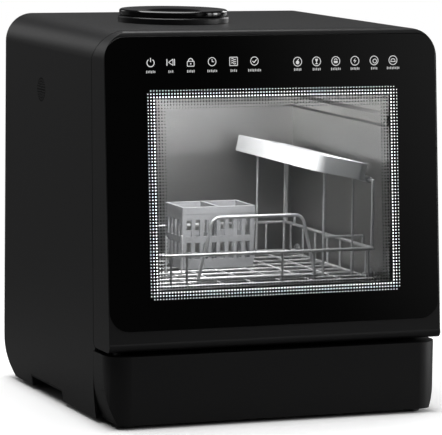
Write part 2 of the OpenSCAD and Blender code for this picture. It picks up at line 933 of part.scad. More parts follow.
// Sump, filter and pumps
module sump() {
  color("#3a3b3d") difference() {
    union() {
      translate([sump_x, sump_y, sump_z0]) rotate(180) cylinder(h = sump_depth, r = sump_r);
      bar_z(sump_z0, sump_z0 + sump_depth, filter_x, filter_y, 2 * (filter_r + filter_wall));
      sump_bridge(sump_z0 + bridge_edge, sump_depth - 2 * bridge_edge, bridge_w);
    }
    translate([sump_x, sump_y, sump_z0 + sump_floor]) rotate(180)
      cylinder(h = sump_depth, r = sump_r - sump_wall);
    bar_z(sump_z0 + sump_floor, FAR, filter_x, filter_y, 2 * filter_r);
    sump_bridge(sump_z0 + bridge_in_z, bridge_in_h, bridge_in_w);
    bar_y(sump_y - sump_r - CUT, sump_y, sump_x, pump_z, 2 * (spigot_r + spigot_play));
    bar_x(sump_x, sump_x + sump_r + CUT, sump_y, drain_z, 2 * drain_hole_r);
  }
}
module sump_bridge(z, h, w) {
  l = norm([filter_x - sump_x, filter_y - sump_y]);
  translate([sump_x, sump_y, z]) rotate(atan2(filter_y - sump_y, filter_x - sump_x))
    translate([0, -w / 2, 0]) cube([l, w, h]);
}
module filter_basket() {
  z0 = sump_z0 + sump_floor + basket_lift_gap;
  rim_z = tub_z0 + TOUCH;
  r = filter_r - basket_play;
  t = basket_wall;
  color("#8f9296") translate([filter_x, filter_y, 0]) difference() {
    union() {
      bar_z(z0, tub_z0 + 1, 0, 0, 2 * r);
      bar_z(rim_z, rim_z + filter_rim_t, 0, 0, 2 * (filter_r + filter_rim_out));
    }
    bar_z(z0 + t, FAR, 0, 0, 2 * (r - t));
    for (a = [15:30:165]) rotate(a) box(-2 * r, 2 * r, -filter_slot_w / 2, filter_slot_w / 2,
      z0 + filter_slot_low, tub_z0 - filter_slot_high);
  }
  color("#6e7175") translate([filter_x, filter_y, z0 + t])
    box(-filter_grip_w / 2, filter_grip_w / 2, -r + t, r - t, 0, tub_z0 - z0 - filter_grip_drop);
}
module wash_pump() {
  color("#2c2d2f") difference() {
    union() {
      bar_y(pump_y1 - pump_head_l, pump_y1, sump_x, pump_z, 2 * pump_r);
      bar_y(pump_y0, pump_y1 - pump_head_l, sump_x, pump_z, 2 * (pump_r - pump_wall));
      bar_y(pump_y1 - CUT, pump_y1 + spigot_l, sump_x, pump_z, 2 * spigot_r);
    }
    bar_y(pump_y1 - pump_head_l + pump_wall, pump_y1 - pump_wall, sump_x, pump_z,
      2 * (impeller_r + impeller_play));
    bar_y(pump_y1 - pump_wall - CUT, pump_y1 + spigot_l + CUT, sump_x, pump_z,
      2 * (spigot_r - spigot_wall));
    bar_y(pump_y0 + pump_rear_wall, pump_y1, sump_x, pump_z, 2 * (shaft_r + pin_play));
  }
}
module wash_impeller() {
  y0 = pump_y1 - pump_head_l + pump_wall + impeller_play;
  y1 = y0 + impeller_disc;
  color("#d0d0cf") {
    bar_y(y0, y1, sump_x, pump_z, 2 * impeller_r);
    bar_y(pump_y0 + pump_rear_wall + CUT, pump_y1 - shaft_front, sump_x, pump_z, 2 * shaft_r);
    for (a = [0:60:300]) translate([sump_x, 0, pump_z]) rotate([0, a, 0])
      box(shaft_r / 2, impeller_r - CUT, y1 - CUT, y1 - CUT + blade_l, -blade_t / 2, blade_t / 2);
  }
}
module drain_pump() {
  x0 = sump_x + sump_r + pump_gap;
  x1 = x0 + drain_head_l;
  color("#2c2d2f") {
    bar_x(x0, x1, sump_y, drain_z, 2 * drain_head_r);
    bar_x(x1, x1 + drain_motor_l, sump_y, drain_z, 2 * drain_motor_r);
    bar_x(x0 - spigot_l, x0 + CUT, sump_y, drain_z, 2 * (drain_hole_r - drain_play));
  }
}
module heater() {
  z = sump_z0 + sump_floor + heater_up;
  color("#a9abad") translate([sump_x, sump_y, z]) {
    rotate_extrude() translate([heater_ring_r, 0]) circle(heater_r);
    for (a = [30, 150, 270]) rotate(a) translate([heater_ring_r, 0, heater_foot_gap - heater_up])
      cylinder(h = heater_foot_h, r = heater_foot_r);
  }
}

// Spray arm
module spray_hub() {
  z0 = sump_z0 + sump_floor + hub_sink;
  color("#97999c") difference() {
    union() {
      bar_z(z0, z0 + hub_flange_t, sump_x, sump_y, 2 * hub_flange_r);
      bar_z(z0, hub_z, sump_x, sump_y, 2 * hub_r);
      bar_z(z0, hub_z + arm_h + bearing_up, sump_x, sump_y, 2 * bearing_r);
    }
    bar_z(z0 - CUT, hub_z - CUT, sump_x, sump_y, 2 * hub_bore_r);
  }
}
module spray_arm() {
  tip = spray_tip_r;
  blade_h = arm_h - 2 * spray_edge;
  color("#b9bbbd") translate([sump_x, sump_y, hub_z + spray_gap]) difference() {
    union() {
      cylinder(h = arm_h, r = boss_r);
      for (s = [0, 180]) rotate(spray_turn + s) translate([0, 0, spray_edge]) {
        translate([0, -tip, 0]) cube([spray_r - tip, 2 * tip, blade_h]);
        translate([spray_r - tip, 0, 0]) cylinder(h = blade_h, r = tip);
      }
    }
    translate([0, 0, -CUT]) cylinder(h = arm_h + 2 * CUT, r = bearing_r + pin_play);
    for (s = [0, 180], k = [0:5]) rotate(spray_turn + s)
      translate([jet_first + k * jet_pitch, (k % 2 * 2 - 1) * jet_out, jet_z])
      cylinder(h = arm_h, r = jet_r);
  }
}
module spray_nut() {
  color("#6f7174") translate([sump_x, sump_y, hub_z + spray_gap + arm_h + nut_gap]) difference() {
    union() {
      cylinder(h = nut_h, r = nut_r);
      for (a = [0:45:315]) rotate(a) translate([nut_r, 0, 0]) cylinder(h = nut_h, r = nut_knob_r);
    }
    translate([0, 0, -CUT]) cylinder(h = CUT + nut_sink, r = bearing_r + nut_play);
  }
}

// Fan
module fan_housing() {
  t = fan_wall;
  x0 = fan_x0 - fan_w - 2 * t;
  color("#2f3032") difference() {
    bar_x(x0, fan_x0, vent_y, vent_z, 2 * (fan_r + t));
    bar_x(x0 + t, fan_x0 - t, vent_y, vent_z, 2 * fan_r);
    bar_x(fan_x0 - t - CUT, fan_x0 + CUT, vent_y, vent_z, 2 * vent_r);
    difference() {
      bar_x(x0 - CUT, x0 + t + CUT, vent_y, vent_z, 2 * (fan_r - fan_grille));
      bar_x(x0 - 2 * CUT, x0 + t + 2 * CUT, vent_y, vent_z, 2 * fan_hub_r);
      for (a = [0, 120, 240]) translate([x0 - 2 * CUT, vent_y, vent_z]) rotate([a, 0, 0])
        translate([0, -fan_grille / 2, 0]) cube([t + 4 * CUT, fan_grille, fan_r]);
    }
    bar_x(x0 + 0.5, x0 + t + CUT, vent_y, vent_z, 2 * (fan_shaft_r + pin_play));
  }
}
module fan_wheel() {
  x0 = fan_x0 - fan_wall - fan_w;
  x1 = fan_x0 - fan_wall - fan_front;
  r = fan_r - fan_play;
  color("#1d1e1f") {
    bar_x(x0 - fan_shaft_out, x0 + 4, vent_y, vent_z, 2 * fan_shaft_r);
    bar_x(x0 + 1, x1, vent_y, vent_z, 2 * fan_rotor_r);
    for (a = [0:40:320]) translate([0, vent_y, vent_z]) rotate([a, 0, 0])
      box(x0 + fan_blade_in, x1 - 1, -fan_blade_t / 2, fan_blade_t / 2, fan_blade_r0, r);
    translate([x0 + 2, vent_y, vent_z]) rotate([0, 90, 0]) difference() {
      cylinder(h = fan_ring_t, r = r);
      translate([0, 0, -CUT]) cylinder(h = fan_ring_t + 2 * CUT, r = r - fan_ring_w);
    }
  }
}

// Rear ports and cable gland
module port(x) {
  y0 = cover_in_y;
  color("#d9dadb") difference() {
    union() {
      bar_y(y0 - port_flange_t - TOUCH, y0 - TOUCH, x, port_up, 2 * (port_r + port_flange));
      bar_y(y0 - port_in, rear_y - rear_inset, x, port_up, 2 * port_r);
    }
    bar_y(y0 - port_bore_in, rear_y + CUT, x, port_up, 2 * (port_r - port_wall));
  }
}
module inlet_connector() { port(port_x[0]); }
module drain_connector() { port(port_x[1]); }
module cord_gland() {
  y0 = cover_in_y;
  color("#18181a") difference() {
    union() {
      bar_y(y0 - gland_in, rear_y - rear_inset, gland_x, port_up, 2 * gland_r);
      bar_y(y0 - gland_flange_t - TOUCH, y0 - TOUCH, gland_x, port_up,
        2 * (gland_r + gland_flange));
    }
    bar_y(y0 - gland_in - CUT, rear_y, gland_x, port_up, 2 * gland_bore_r);
  }
}

// Door
module door_hollow() {
  back = recess + door_t;
  z0 = door_z0 + door_t;
  intersection() {
    along_y(-FAR, FAR) outline(door_t, foot_h);
    along_x(-FAR, FAR) polygon([[face_y(z0) + back, z0], [FAR, z0], [FAR, body_top],
      [face_y(body_top) + back, body_top]]);
  }
}
module door_frame() {
  ear_gap = (arm_t + ear_t + 2 * ear_play) / 2;
  slot_w = arm_t / 2 + slot_play;
  ear_z = door_z0 + door_t + CUT;
  color("#1a1a1b") difference() {
    union() {
      intersection() {
        along_x(-FAR, FAR) door_side(0, seam_y0);
        along_y(-FAR, FAR) outline(0, foot_h);
        difference() {
          box(-FAR, FAR, -FAR, FAR, 0, FAR);
          door_hollow();
        }
      }
      for (s = [-1, 1], k = [-1, 1]) hinge_ear(s * arm_x + k * ear_gap);
    }
    on_face(-recess) linear_extrude(FAR) glass_plan(-glass_play);
    on_face(-FAR) linear_extrude(2 * FAR) window_plan(0);
    for (s = [-1, 1]) {
      box(s * arm_x - slot_w, s * arm_x + slot_w, hinge_y - eye_r - ear_edge, FAR, 0, ear_z);
      bar_x(s * arm_x - pin_hole_l, s * arm_x + pin_hole_l, hinge_y, hinge_z,
        2 * (pin_r + pin_fit));
    }
    box(door_t - half_w, half_w - door_t, panel_y, FAR, 0, ear_z);
  }
}
module hinge_ear(x) {
  reach = eye_r + ear_edge;
  box(x - ear_t / 2, x + ear_t / 2, hinge_y - reach, hinge_y + reach,
    door_z0 + door_t - CUT / 2, hinge_z + reach);
}
module glass_plan(i) {
  x = half_w - glass_side - i;
  round_rect(-x, x, slope(door_z0 + glass_low) + i, slope(body_top - glass_high) - i, glass_r - i);
}
module window_plan(i) {
  x = win_w / 2 - i;
  round_rect(-x, x, slope(win_z0) + i, slope(win_z1) - i, win_r - i);
}
module door_glass() {
  color("#060607") on_face(glass_bed - recess) linear_extrude(glass_t) glass_plan(0);
}
module door_inner_panel() {
  i = door_t + joint_gap;
  x1 = win_w / 2 + panel_window_side;
  slot_w = arm_t / 2 + slot_play;
  color("#9fa1a3") difference() {
    intersection() {
      along_y(panel_y - panel_t, panel_y) outline(i, foot_h);
      box(-FAR, FAR, -FAR, FAR, door_z0 + i, body_top - i);
    }
    box(-x1, x1, -FAR, FAR, cup_z1 + panel_window_low, win_z1 + panel_window_high);
    for (s = [-1, 1])
      box(s * arm_x - slot_w, s * arm_x + slot_w, -FAR, FAR, 0, hinge_z + eye_r + slot_play);
    box(cup_x0 - cup_gap, cup_x1 + cup_gap, -FAR, FAR, cup_z0 - cup_gap, cup_z1 + cup_gap);
  }
}
module door_inner_glass() {
  x = win_w / 2 + pane_side;
  y1 = panel_y - panel_t - TOUCH;
  color("#aab4b8", 0.25) along_y(y1 - pane_t, y1)
    round_rect(-x, x, cup_z1 + pane_low, win_z1 + pane_high, pane_r);
}
module door_seal() {
  x = tub_w / 2 + seal_out;
  z0 = tub_z0 - seal_low;
  z1 = tub_top + seal_out;
  color("#3b3c3e") along_y(panel_y, tub_front_y - seal_gap) difference() {
    round_rect(-x, x, z0, z1, seal_r);
    round_rect(seal_w - x, x - seal_w, z0 + seal_w, z1 - seal_w, seal_in_r);
  }
}
module control_board() {
  out = -(recess + door_t + board_gap + board_t);
  x = half_w - board_side;
  v0 = slope(win_z1 + board_low);
  v1 = slope(body_top - board_high);
  color("#1f4a33") on_face(out) linear_extrude(board_t) translate([-x, v0])
    square([2 * x, v1 - v0]);
  color("#111112") on_face(out - chip_t + chip_sink) linear_extrude(chip_t)
    for (cx = [-chip_first:chip_pitch:chip_first]) translate([cx, (v0 + v1 - chip_h) / 2])
      square([chip_w, chip_h]);
}

// Detergent dispenser
module detergent_cup() {
  y0 = panel_y - cup_depth;
  color("#a7a9ab") difference() {
    union() {
      box(cup_x0, cup_x1, y0, panel_y, cup_z0, cup_z1);
      for (x = [cup_x0, cup_x1 - cup_ear_t]) {
        box(x, x + cup_ear_t, panel_y - cup_ear_in, panel_y + cup_ear_in,
          cup_z1 - cup_ear_low, cup_z1);
        box(x, x + cup_ear_t, panel_y + TOUCH, panel_y + cup_ear_out,
          cup_z1 - cup_ear_low, lid_axis_z + cup_ear_up);
      }
    }
    box(cup_x0 + cup_wall, cup_x1 - cup_wall, y0 + cup_floor, FAR, cup_z0 + cup_floor,
      cup_z1 - cup_floor);
    bar_x(cup_x0 - CUT, cup_x1 + CUT, lid_axis_y, lid_axis_z, 2 * (lid_pin_r + pin_fit));
  }
}
module dispenser_lid() {
  x0 = cup_x0 + cup_ear_t + lid_gap;
  x1 = cup_x1 - cup_ear_t - lid_gap;
  y0 = panel_y + lid_back;
  y1 = y0 + lid_t;
  xm = (x0 + x1) / 2;
  color("#8c8e91") difference() {
    union() {
      box(x0, x1, y0, y1, cup_z0 + lid_low, lid_axis_z);
      bar_x(x0, x1, lid_axis_y, lid_axis_z, 2 * lid_hinge_r);
      box(xm - lid_tab_w / 2, xm + lid_tab_w / 2, y1 - lid_back, y1 - lid_back + lid_tab_t,
        cup_z0 + lid_tab_low, cup_z0 + lid_tab_low + lid_tab_h);
    }
    bar_x(cup_x0, cup_x1, lid_axis_y, lid_axis_z, 2 * (lid_pin_r + pin_play));
  }
}
module lid_pin() {
  color("#b0b2b4") bar_x(cup_x0 + lid_pin_in, cup_x1 - lid_pin_in, lid_axis_y, lid_axis_z,
    2 * lid_pin_r);
}

// Hinge and latch
module hinge_arm(s) {
  z0 = foot_h + shell_t + TOUCH;
  z1 = hinge_z + arm_half_h;
  y0 = seam_y0 + arm_back;
  x0 = s * arm_x - arm_t / 2;
  foot_x0 = s > 0 ? x0 - arm_foot_w : x0;
  color("#77797c") difference() {
    union() {
      bar_x(x0, x0 + arm_t, hinge_y, hinge_z, 2 * eye_r);
      box(x0, x0 + arm_t, hinge_y, y0 + arm_strap_l, hinge_z - arm_half_h, z1);
      box(x0, x0 + arm_t, y0, y0 + arm_l, z0, z1);
      box(foot_x0, foot_x0 + arm_foot_w + arm_t, y0, y0 + arm_l, z0, z0 + arm_foot_t);
    }
    bar_x(-FAR, FAR, hinge_y, hinge_z, 2 * (pin_r + pin_play));
  }
}
module hinge_arm_left() { hinge_arm(-1); }
module hinge_arm_right() { hinge_arm(1); }
module hinge_pins() {
  half = arm_t / 2 + ear_play + ear_t + pin_end;
  color("#b5b7ba") for (s = [-1, 1])
    bar_x(s * arm_x - half, s * arm_x + half, hinge_y, hinge_z, 2 * pin_r);
}
module latch_tongue() {
  y0 = panel_y + TOUCH;
  color("#5b5d60") difference() {
    union() {
      box(-tongue_half_w, tongue_half_w, y0, latch_y1 - tongue_end, latch_z, latch_z + tongue_t);
      box(-tongue_foot_w, tongue_foot_w, y0, y0 + tongue_foot_t, latch_z - tongue_foot_low,
        latch_z + tongue_foot_high);
    }
    bar_z(latch_z - CUT, latch_z + tongue_t + CUT, 0, bolt_y, 2 * (bolt_r + bolt_hole_play));
  }
}
module latch_receiver() {
  w = receiver_half_w;
  color("#3d3e40") difference() {
    box(-w, w, tub_front_y + flange_t + TOUCH, latch_y1, tub_top + tub_t + TOUCH,
      latch_z + receiver_high);
    box(-receiver_in_w, receiver_in_w, -FAR, latch_y1 - receiver_wall, latch_z - receiver_low,
      latch_z + receiver_in_high);
    bar_z(latch_z, FAR, 0, bolt_y, 2 * (bolt_r + pin_play));
  }
}
module lock_bolt() {
  color("#b0b2b4") bar_z(latch_z + bolt_low, latch_z + bolt_high, 0, bolt_y, 2 * bolt_r);
}

// Rack, built up from flat welded wire panels
module rack_floor() {
  reach = wheel_x + wheel_w + axle_end;
  color("#c3c5c7") {
    for (y = [rack_front_y, rack_rear_y]) bar_x(-rack_x, rack_x, y, floor_z, frame_wire);
    for (x = [-rack_x, rack_x]) bar_y(rack_front_y, rack_rear_y, x, floor_z, frame_wire);
    for (x = [-rack_x, rack_x], y = [rack_front_y, rack_rear_y]) translate([x, y, floor_z])
      sphere(d = frame_wire);
    for (k = [1:cross_wires - 1]) bar_x(-rack_x, rack_x, floor_y[k], floor_z, thin_wire);
    for (k = [1:long_wires - 1]) bar_y(rack_front_y, rack_rear_y,
      -rack_x + 2 * rack_x * k / long_wires, floor_z, thin_wire);
    for (y = axle_y) {
      bar_x(-reach, frame_wire / 2 - rack_x, y, wheel_z, 2 * axle_r);
      bar_x(rack_x - frame_wire / 2, reach, y, wheel_z, 2 * axle_r);
    }
  }
}
module wire_wall(places) {
  z0 = floor_z + frame_wire / 2 + weld_gap;
  for (p = places) bar_z(z0, top_z, p[0], p[1], thin_wire);
}
module rack_end(y, xs) {
  x = rack_x - frame_wire / 2 - weld_gap;
  color("#c3c5c7") {
    bar_x(-x, x, y, top_z, frame_wire);
    wire_wall([for (p = xs) [p, y]]);
  }
}
module rack_front() { rack_end(rack_front_y, front_posts); }
module rack_back() { rack_end(rack_rear_y, [for (k = [-back_posts:back_posts]) k * back_pitch]); }
module rack_side(s) {
  color("#c3c5c7") {
    bar_y(rack_front_y, rack_rear_y, s * rack_x, top_z, frame_wire);
    wire_wall([for (y = side_y) [s * rack_x, y]]);
    for (y = [rack_front_y, rack_rear_y]) translate([s * rack_x, y, top_z]) sphere(d = frame_wire);
  }
}
module rack_side_left() { rack_side(-1); }
module rack_side_right() { rack_side(1); }
module plate_hoop() {
  z0 = floor_z + (thin_wire + frame_wire) / 2 + weld_gap;
  zc = hoop_top - hoop_r;
  a = 180 - hoop_lean;
  z1 = zc + hoop_r * sin(a);
  leg = (z1 - z0) / cos(hoop_lean);
  xc = hoop_half - leg * sin(hoop_lean) + hoop_r * cos(a);
  color("#c3c5c7") translate([hoop_x, floor_y[1], 0]) {
    for (m = [0, 1]) mirror([m, 0, 0]) {
      translate([-xc, 0, zc]) rotate([90, 0, 0]) rotate(90) rotate_extrude(angle = 90 - hoop_lean)
        translate([hoop_r, 0]) circle(d = frame_wire - wire_fit);
      translate([-xc + hoop_r * cos(a), 0, z1]) rotate([0, 180 + hoop_lean, 0])
        translate([0, 0, -lap]) cylinder(h = leg + lap, d = frame_wire);
    }
    bar_x(-xc - lap, xc + lap, 0, hoop_top, frame_wire);
    bar_x(-hoop_half, hoop_half, 0, z0, frame_wire);
  }
}
module tine_row(y) {
  z = floor_z + thin_wire + weld_gap;
  z1 = z + tine_h - thin_wire / 2;
  x0 = tine_side - rack_x;
  x1 = x0 + (tine_count - 1) * tine_pitch;
  bar_x(x0 - tine_end, x1 + tine_end, y, z, thin_wire);
  for (x = [x0:tine_pitch:x1 + CUT]) {
    bar_z(z, z1, x, y, thin_wire);
    translate([x, y, z1]) sphere(d = thin_wire);
  }
}
module plate_tines() {
  color("#c3c5c7") for (k = [3, 6]) tine_row(floor_y[k]);
}
module rack_wheel(s, y) {
  x = s > 0 ? wheel_x : -wheel_x - wheel_w;
  color("#8a8c8f") difference() {
    union() {
      bar_x(x, x + wheel_w, y, wheel_z, 2 * (wheel_r - wheel_edge));
      bar_x(x + wheel_edge, x + wheel_w - wheel_edge, y, wheel_z, 2 * wheel_r);
    }
    bar_x(x - CUT, x + wheel_w + CUT, y, wheel_z, 2 * (axle_r + wheel_play));
    for (a = [0:72:288]) translate([0, y, wheel_z]) rotate([a, 0, 0])
      bar_x(x - CUT, x + wheel_w + CUT, wheel_hole_out, 0, 2 * wheel_hole_r);
  }
}
module rack_wheel_fl() { rack_wheel(-1, axle_y[0]); }
module rack_wheel_fr() { rack_wheel(1, axle_y[0]); }
module rack_wheel_rl() { rack_wheel(-1, axle_y[1]); }
module rack_wheel_rr() { rack_wheel(1, axle_y[1]); }

// Cup shelf, hinged on a rod along the rack's right side and resting on wire legs
module cup_shelf_frame() {
  rail_top = top_z + frame_wire / 2 + weld_gap;
  leg_z0 = floor_z + thin_wire / 2 + weld_gap;
  brace_z = top_z + brace_up;
  color("#c3c5c7") {
    bar_y(shelf_y0 - rod_end, shelf_y1 + rod_end, shelf_axis_x, shelf_axis_z, 2 * shelf_pin_r);
    for (y = [shelf_y0 - rod_end, shelf_y1 + rod_end]) {
      bar_z(rail_top, shelf_axis_z, shelf_axis_x, y, 2 * shelf_pin_r);
      translate([shelf_axis_x, y, shelf_axis_z]) sphere(r = shelf_pin_r);
    }
    for (y = leg_y) {
      for (x = leg_x) bar_z(leg_z0, shelf_under(x + thin_wire / 2) - leg_gap, x, y, thin_wire);
      bar_x(leg_x[0], shelf_axis_x, y, brace_z, thin_wire);
      bar_z(rail_top, brace_z, shelf_axis_x, y, thin_wire);
    }
  }
}
module shelf_plan(i) {
  round_rect(i - shelf_w, -knuckle_r - shelf_lip - i, shelf_y0 + i, shelf_y1 - i, shelf_r - i);
}
module shelf_slots() {
  w = shelf_slot_w / 2;
  for (x = [shelf_slot_side - shelf_w:shelf_slot_pitch:-shelf_slot_stop], k = [0:shelf_slot_rows])
    translate([x, shelf_y0 + shelf_slot_y0 + k * (shelf_l - shelf_slot_run) / shelf_slot_rows,
      -knuckle_r - CUT]) linear_extrude(2 * (knuckle_r + CUT))
      round_rect(-w, w, 0, shelf_slot_l, shelf_slot_r);
}
module cup_shelf() {
  color("#cfd1d2") translate([shelf_axis_x, 0, shelf_axis_z]) rotate([0, shelf_tilt, 0])
    difference() {
      union() {
        difference() {
          translate([0, 0, -shelf_drop]) linear_extrude(shelf_rim) shelf_plan(0);
          translate([0, 0, shelf_floor - shelf_drop]) linear_extrude(shelf_rim)
            shelf_plan(shelf_wall);
          shelf_slots();
        }
        for (y = [shelf_y0 + knuckle_in, shelf_mid_y - knuckle_l / 2, shelf_y1 - knuckle_rear]) {
          bar_y(y, y + knuckle_l, 0, 0, 2 * knuckle_r);
          box(-knuckle_r - knuckle_rib, -CUT, y, y + knuckle_l, -shelf_drop, knuckle_rib_h);
        }
      }
      bar_y(shelf_y0 - shelf_bore_end, shelf_y1 + shelf_bore_end, 0, 0,
        2 * (shelf_pin_r + pin_play));
    }
}
module cutlery_basket() {
  z0 = floor_z + thin_wire / 2 + weld_gap;
  t = basket_t;
  w = basket_slot_w / 2;
  cell = (basket_x1 - basket_x0 - 3 * t) / 2;
  color("#b9bbbd") difference() {
    box(basket_x0, basket_x1, basket_y0, basket_y1, z0, z0 + basket_h);
    for (x = [basket_x0 + t, basket_x0 + 2 * t + cell])
      box(x, x + cell, basket_y0 + t, basket_y1 - t, z0 + t, z0 + basket_h + CUT);
    for (x = [basket_x0 + basket_slot_x:basket_pitch_x:basket_x1 - basket_slot_end],
      z = basket_slot_z)
      box(x - w, x + w, basket_y0 - CUT, basket_y1 + CUT, z0 + z, z0 + z + basket_slot_h);
    for (y = [basket_y0 + basket_slot_y:basket_pitch_y:basket_y1 - basket_slot_end],
      z = basket_slot_z)
      box(basket_x0 - CUT, basket_x1 + CUT, y - w, y + w, z0 + z, z0 + z + basket_slot_h);
  }
}

outer_shell();
rear_cover();
base_tray();
base_front_cover();
rubber_feet();
carry_grips();
case_screws();
filler_collar();
filler_funnel();
filler_cap();
cap_seal();
water_tank();
tub();
tub_posts();
rack_rails();
light_strip();
sump();
filter_basket();
wash_pump();
wash_impeller();
drain_pump();
heater();
spray_hub();
spray_arm();
spray_nut();
fan_housing();
fan_wheel();
inlet_connector();
drain_connector();
cord_gland();
door_frame();
door_glass();
door_inner_panel();
door_inner_glass();
door_seal();
control_board();
detergent_cup();
dispenser_lid();
lid_pin();
hinge_arm_left();
hinge_arm_right();
hinge_pins();
latch_tongue();
latch_receiver();
lock_bolt();
rack_floor();
rack_front();
rack_back();
rack_side_left();
rack_side_right();
plate_hoop();
plate_tines();
rack_wheel_fl();
rack_wheel_fr();
rack_wheel_rl();
rack_wheel_rr();
cup_shelf_frame();
cup_shelf();
cutlery_basket();
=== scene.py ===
"""Dresses the solids of a black countertop dishwasher and sets the studio round it.

Lengths are in metres, and names that end in _mm hold millimetres. The frame is the one of the
solids: +Z is up, the door faces -Y, and the origin lies on the table under the housing's middle.
"""

import logging
import math
from collections.abc import Callable, Iterator, Sequence
from dataclasses import dataclass, field
from enum import Enum
from typing import Any

import bmesh
import bpy
from mathutils import Matrix, Vector


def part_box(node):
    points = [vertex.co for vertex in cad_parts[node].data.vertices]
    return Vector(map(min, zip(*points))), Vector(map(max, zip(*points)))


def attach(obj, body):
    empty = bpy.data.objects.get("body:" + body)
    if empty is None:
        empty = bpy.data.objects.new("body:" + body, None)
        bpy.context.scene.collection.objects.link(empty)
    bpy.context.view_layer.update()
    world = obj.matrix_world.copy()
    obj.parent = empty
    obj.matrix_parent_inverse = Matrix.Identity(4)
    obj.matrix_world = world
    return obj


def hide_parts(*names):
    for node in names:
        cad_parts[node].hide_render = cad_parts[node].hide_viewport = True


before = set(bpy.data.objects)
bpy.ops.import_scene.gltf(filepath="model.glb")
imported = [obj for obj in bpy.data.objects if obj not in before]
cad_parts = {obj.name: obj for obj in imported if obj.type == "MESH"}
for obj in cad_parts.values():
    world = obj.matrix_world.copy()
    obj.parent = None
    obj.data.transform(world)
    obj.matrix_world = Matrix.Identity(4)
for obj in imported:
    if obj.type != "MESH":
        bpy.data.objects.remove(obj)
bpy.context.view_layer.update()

LOG = logging.getLogger("dishwasher")
MM = 0.001
Point = tuple[float, float]

# What most values of a noise texture lie between, and how much fine detail it has.
NOISE_SPAN = (0.3, 0.7)
NOISE_DETAIL = 2.0
NOISE_ROUGHNESS = 0.55
# The two kinds of node that do most of the sums.
MATHS = "ShaderNodeMath"
RAMP = "ShaderNodeMapRange"
# Corners that are closer than this are one corner, in metres.
WELD = 1e-6
# Faces that meet at less than this angle are one flat face.
FLAT = math.radians(0.3)
# The least angle of an edge that is rounded on a turned piece.
TURNED_CORNER = math.radians(25)
# How far the large faces set the shading of a softened solid, out of 100.
SHADING_WEIGHT = 60


def linear(code: str) -> tuple[float, float, float, float]:
    """Turns an sRGB hex colour into linear light.

    Args:
        code: The colour as "#rrggbb".

    Returns:
        Red, green, blue and an alpha of 1.
    """
    parts = [int(code[i : i + 2], 16) / 255 for i in (1, 3, 5)]
    red, green, blue = (c / 12.92 if c <= 0.04045 else ((c + 0.055) / 1.055) ** 2.4 for c in parts)
    return red, green, blue, 1.0


def add_node(
    tree: bpy.types.NodeTree,
    kind: str,
    settings: dict[str, Any] | None = None,
    inputs: dict[str | int, Any] | None = None,
) -> bpy.types.Node:
    """Adds a node, sets its properties, and fills or links its inputs.

    Args:
        tree: The tree that gets the node.
        kind: The node's class name.
        settings: Property names and their values.
        inputs: Socket names or places, each with a value, the socket that feeds it, or the node
            whose first output feeds it.

    Returns:
        The new node.
    """
    node = tree.nodes.new(kind)
    for name, value in (settings or {}).items():
        setattr(node, name, value)
    for place, value in (inputs or {}).items():
        feed = value.outputs[0] if isinstance(value, bpy.types.Node) else value
        if isinstance(feed, bpy.types.NodeSocket):
            tree.links.new(feed, node.inputs[place])
        else:
            node.inputs[place].default_value = feed
    return node


class Lay(Enum):
    """The way a surface's marks run, as the stretch of its pattern along each axis."""

    EVEN = (1.0, 1.0, 1.0)
    ALONG_X = (0.02, 1.0, 1.0)
    ALONG_Y = (1.0, 0.02, 1.0)


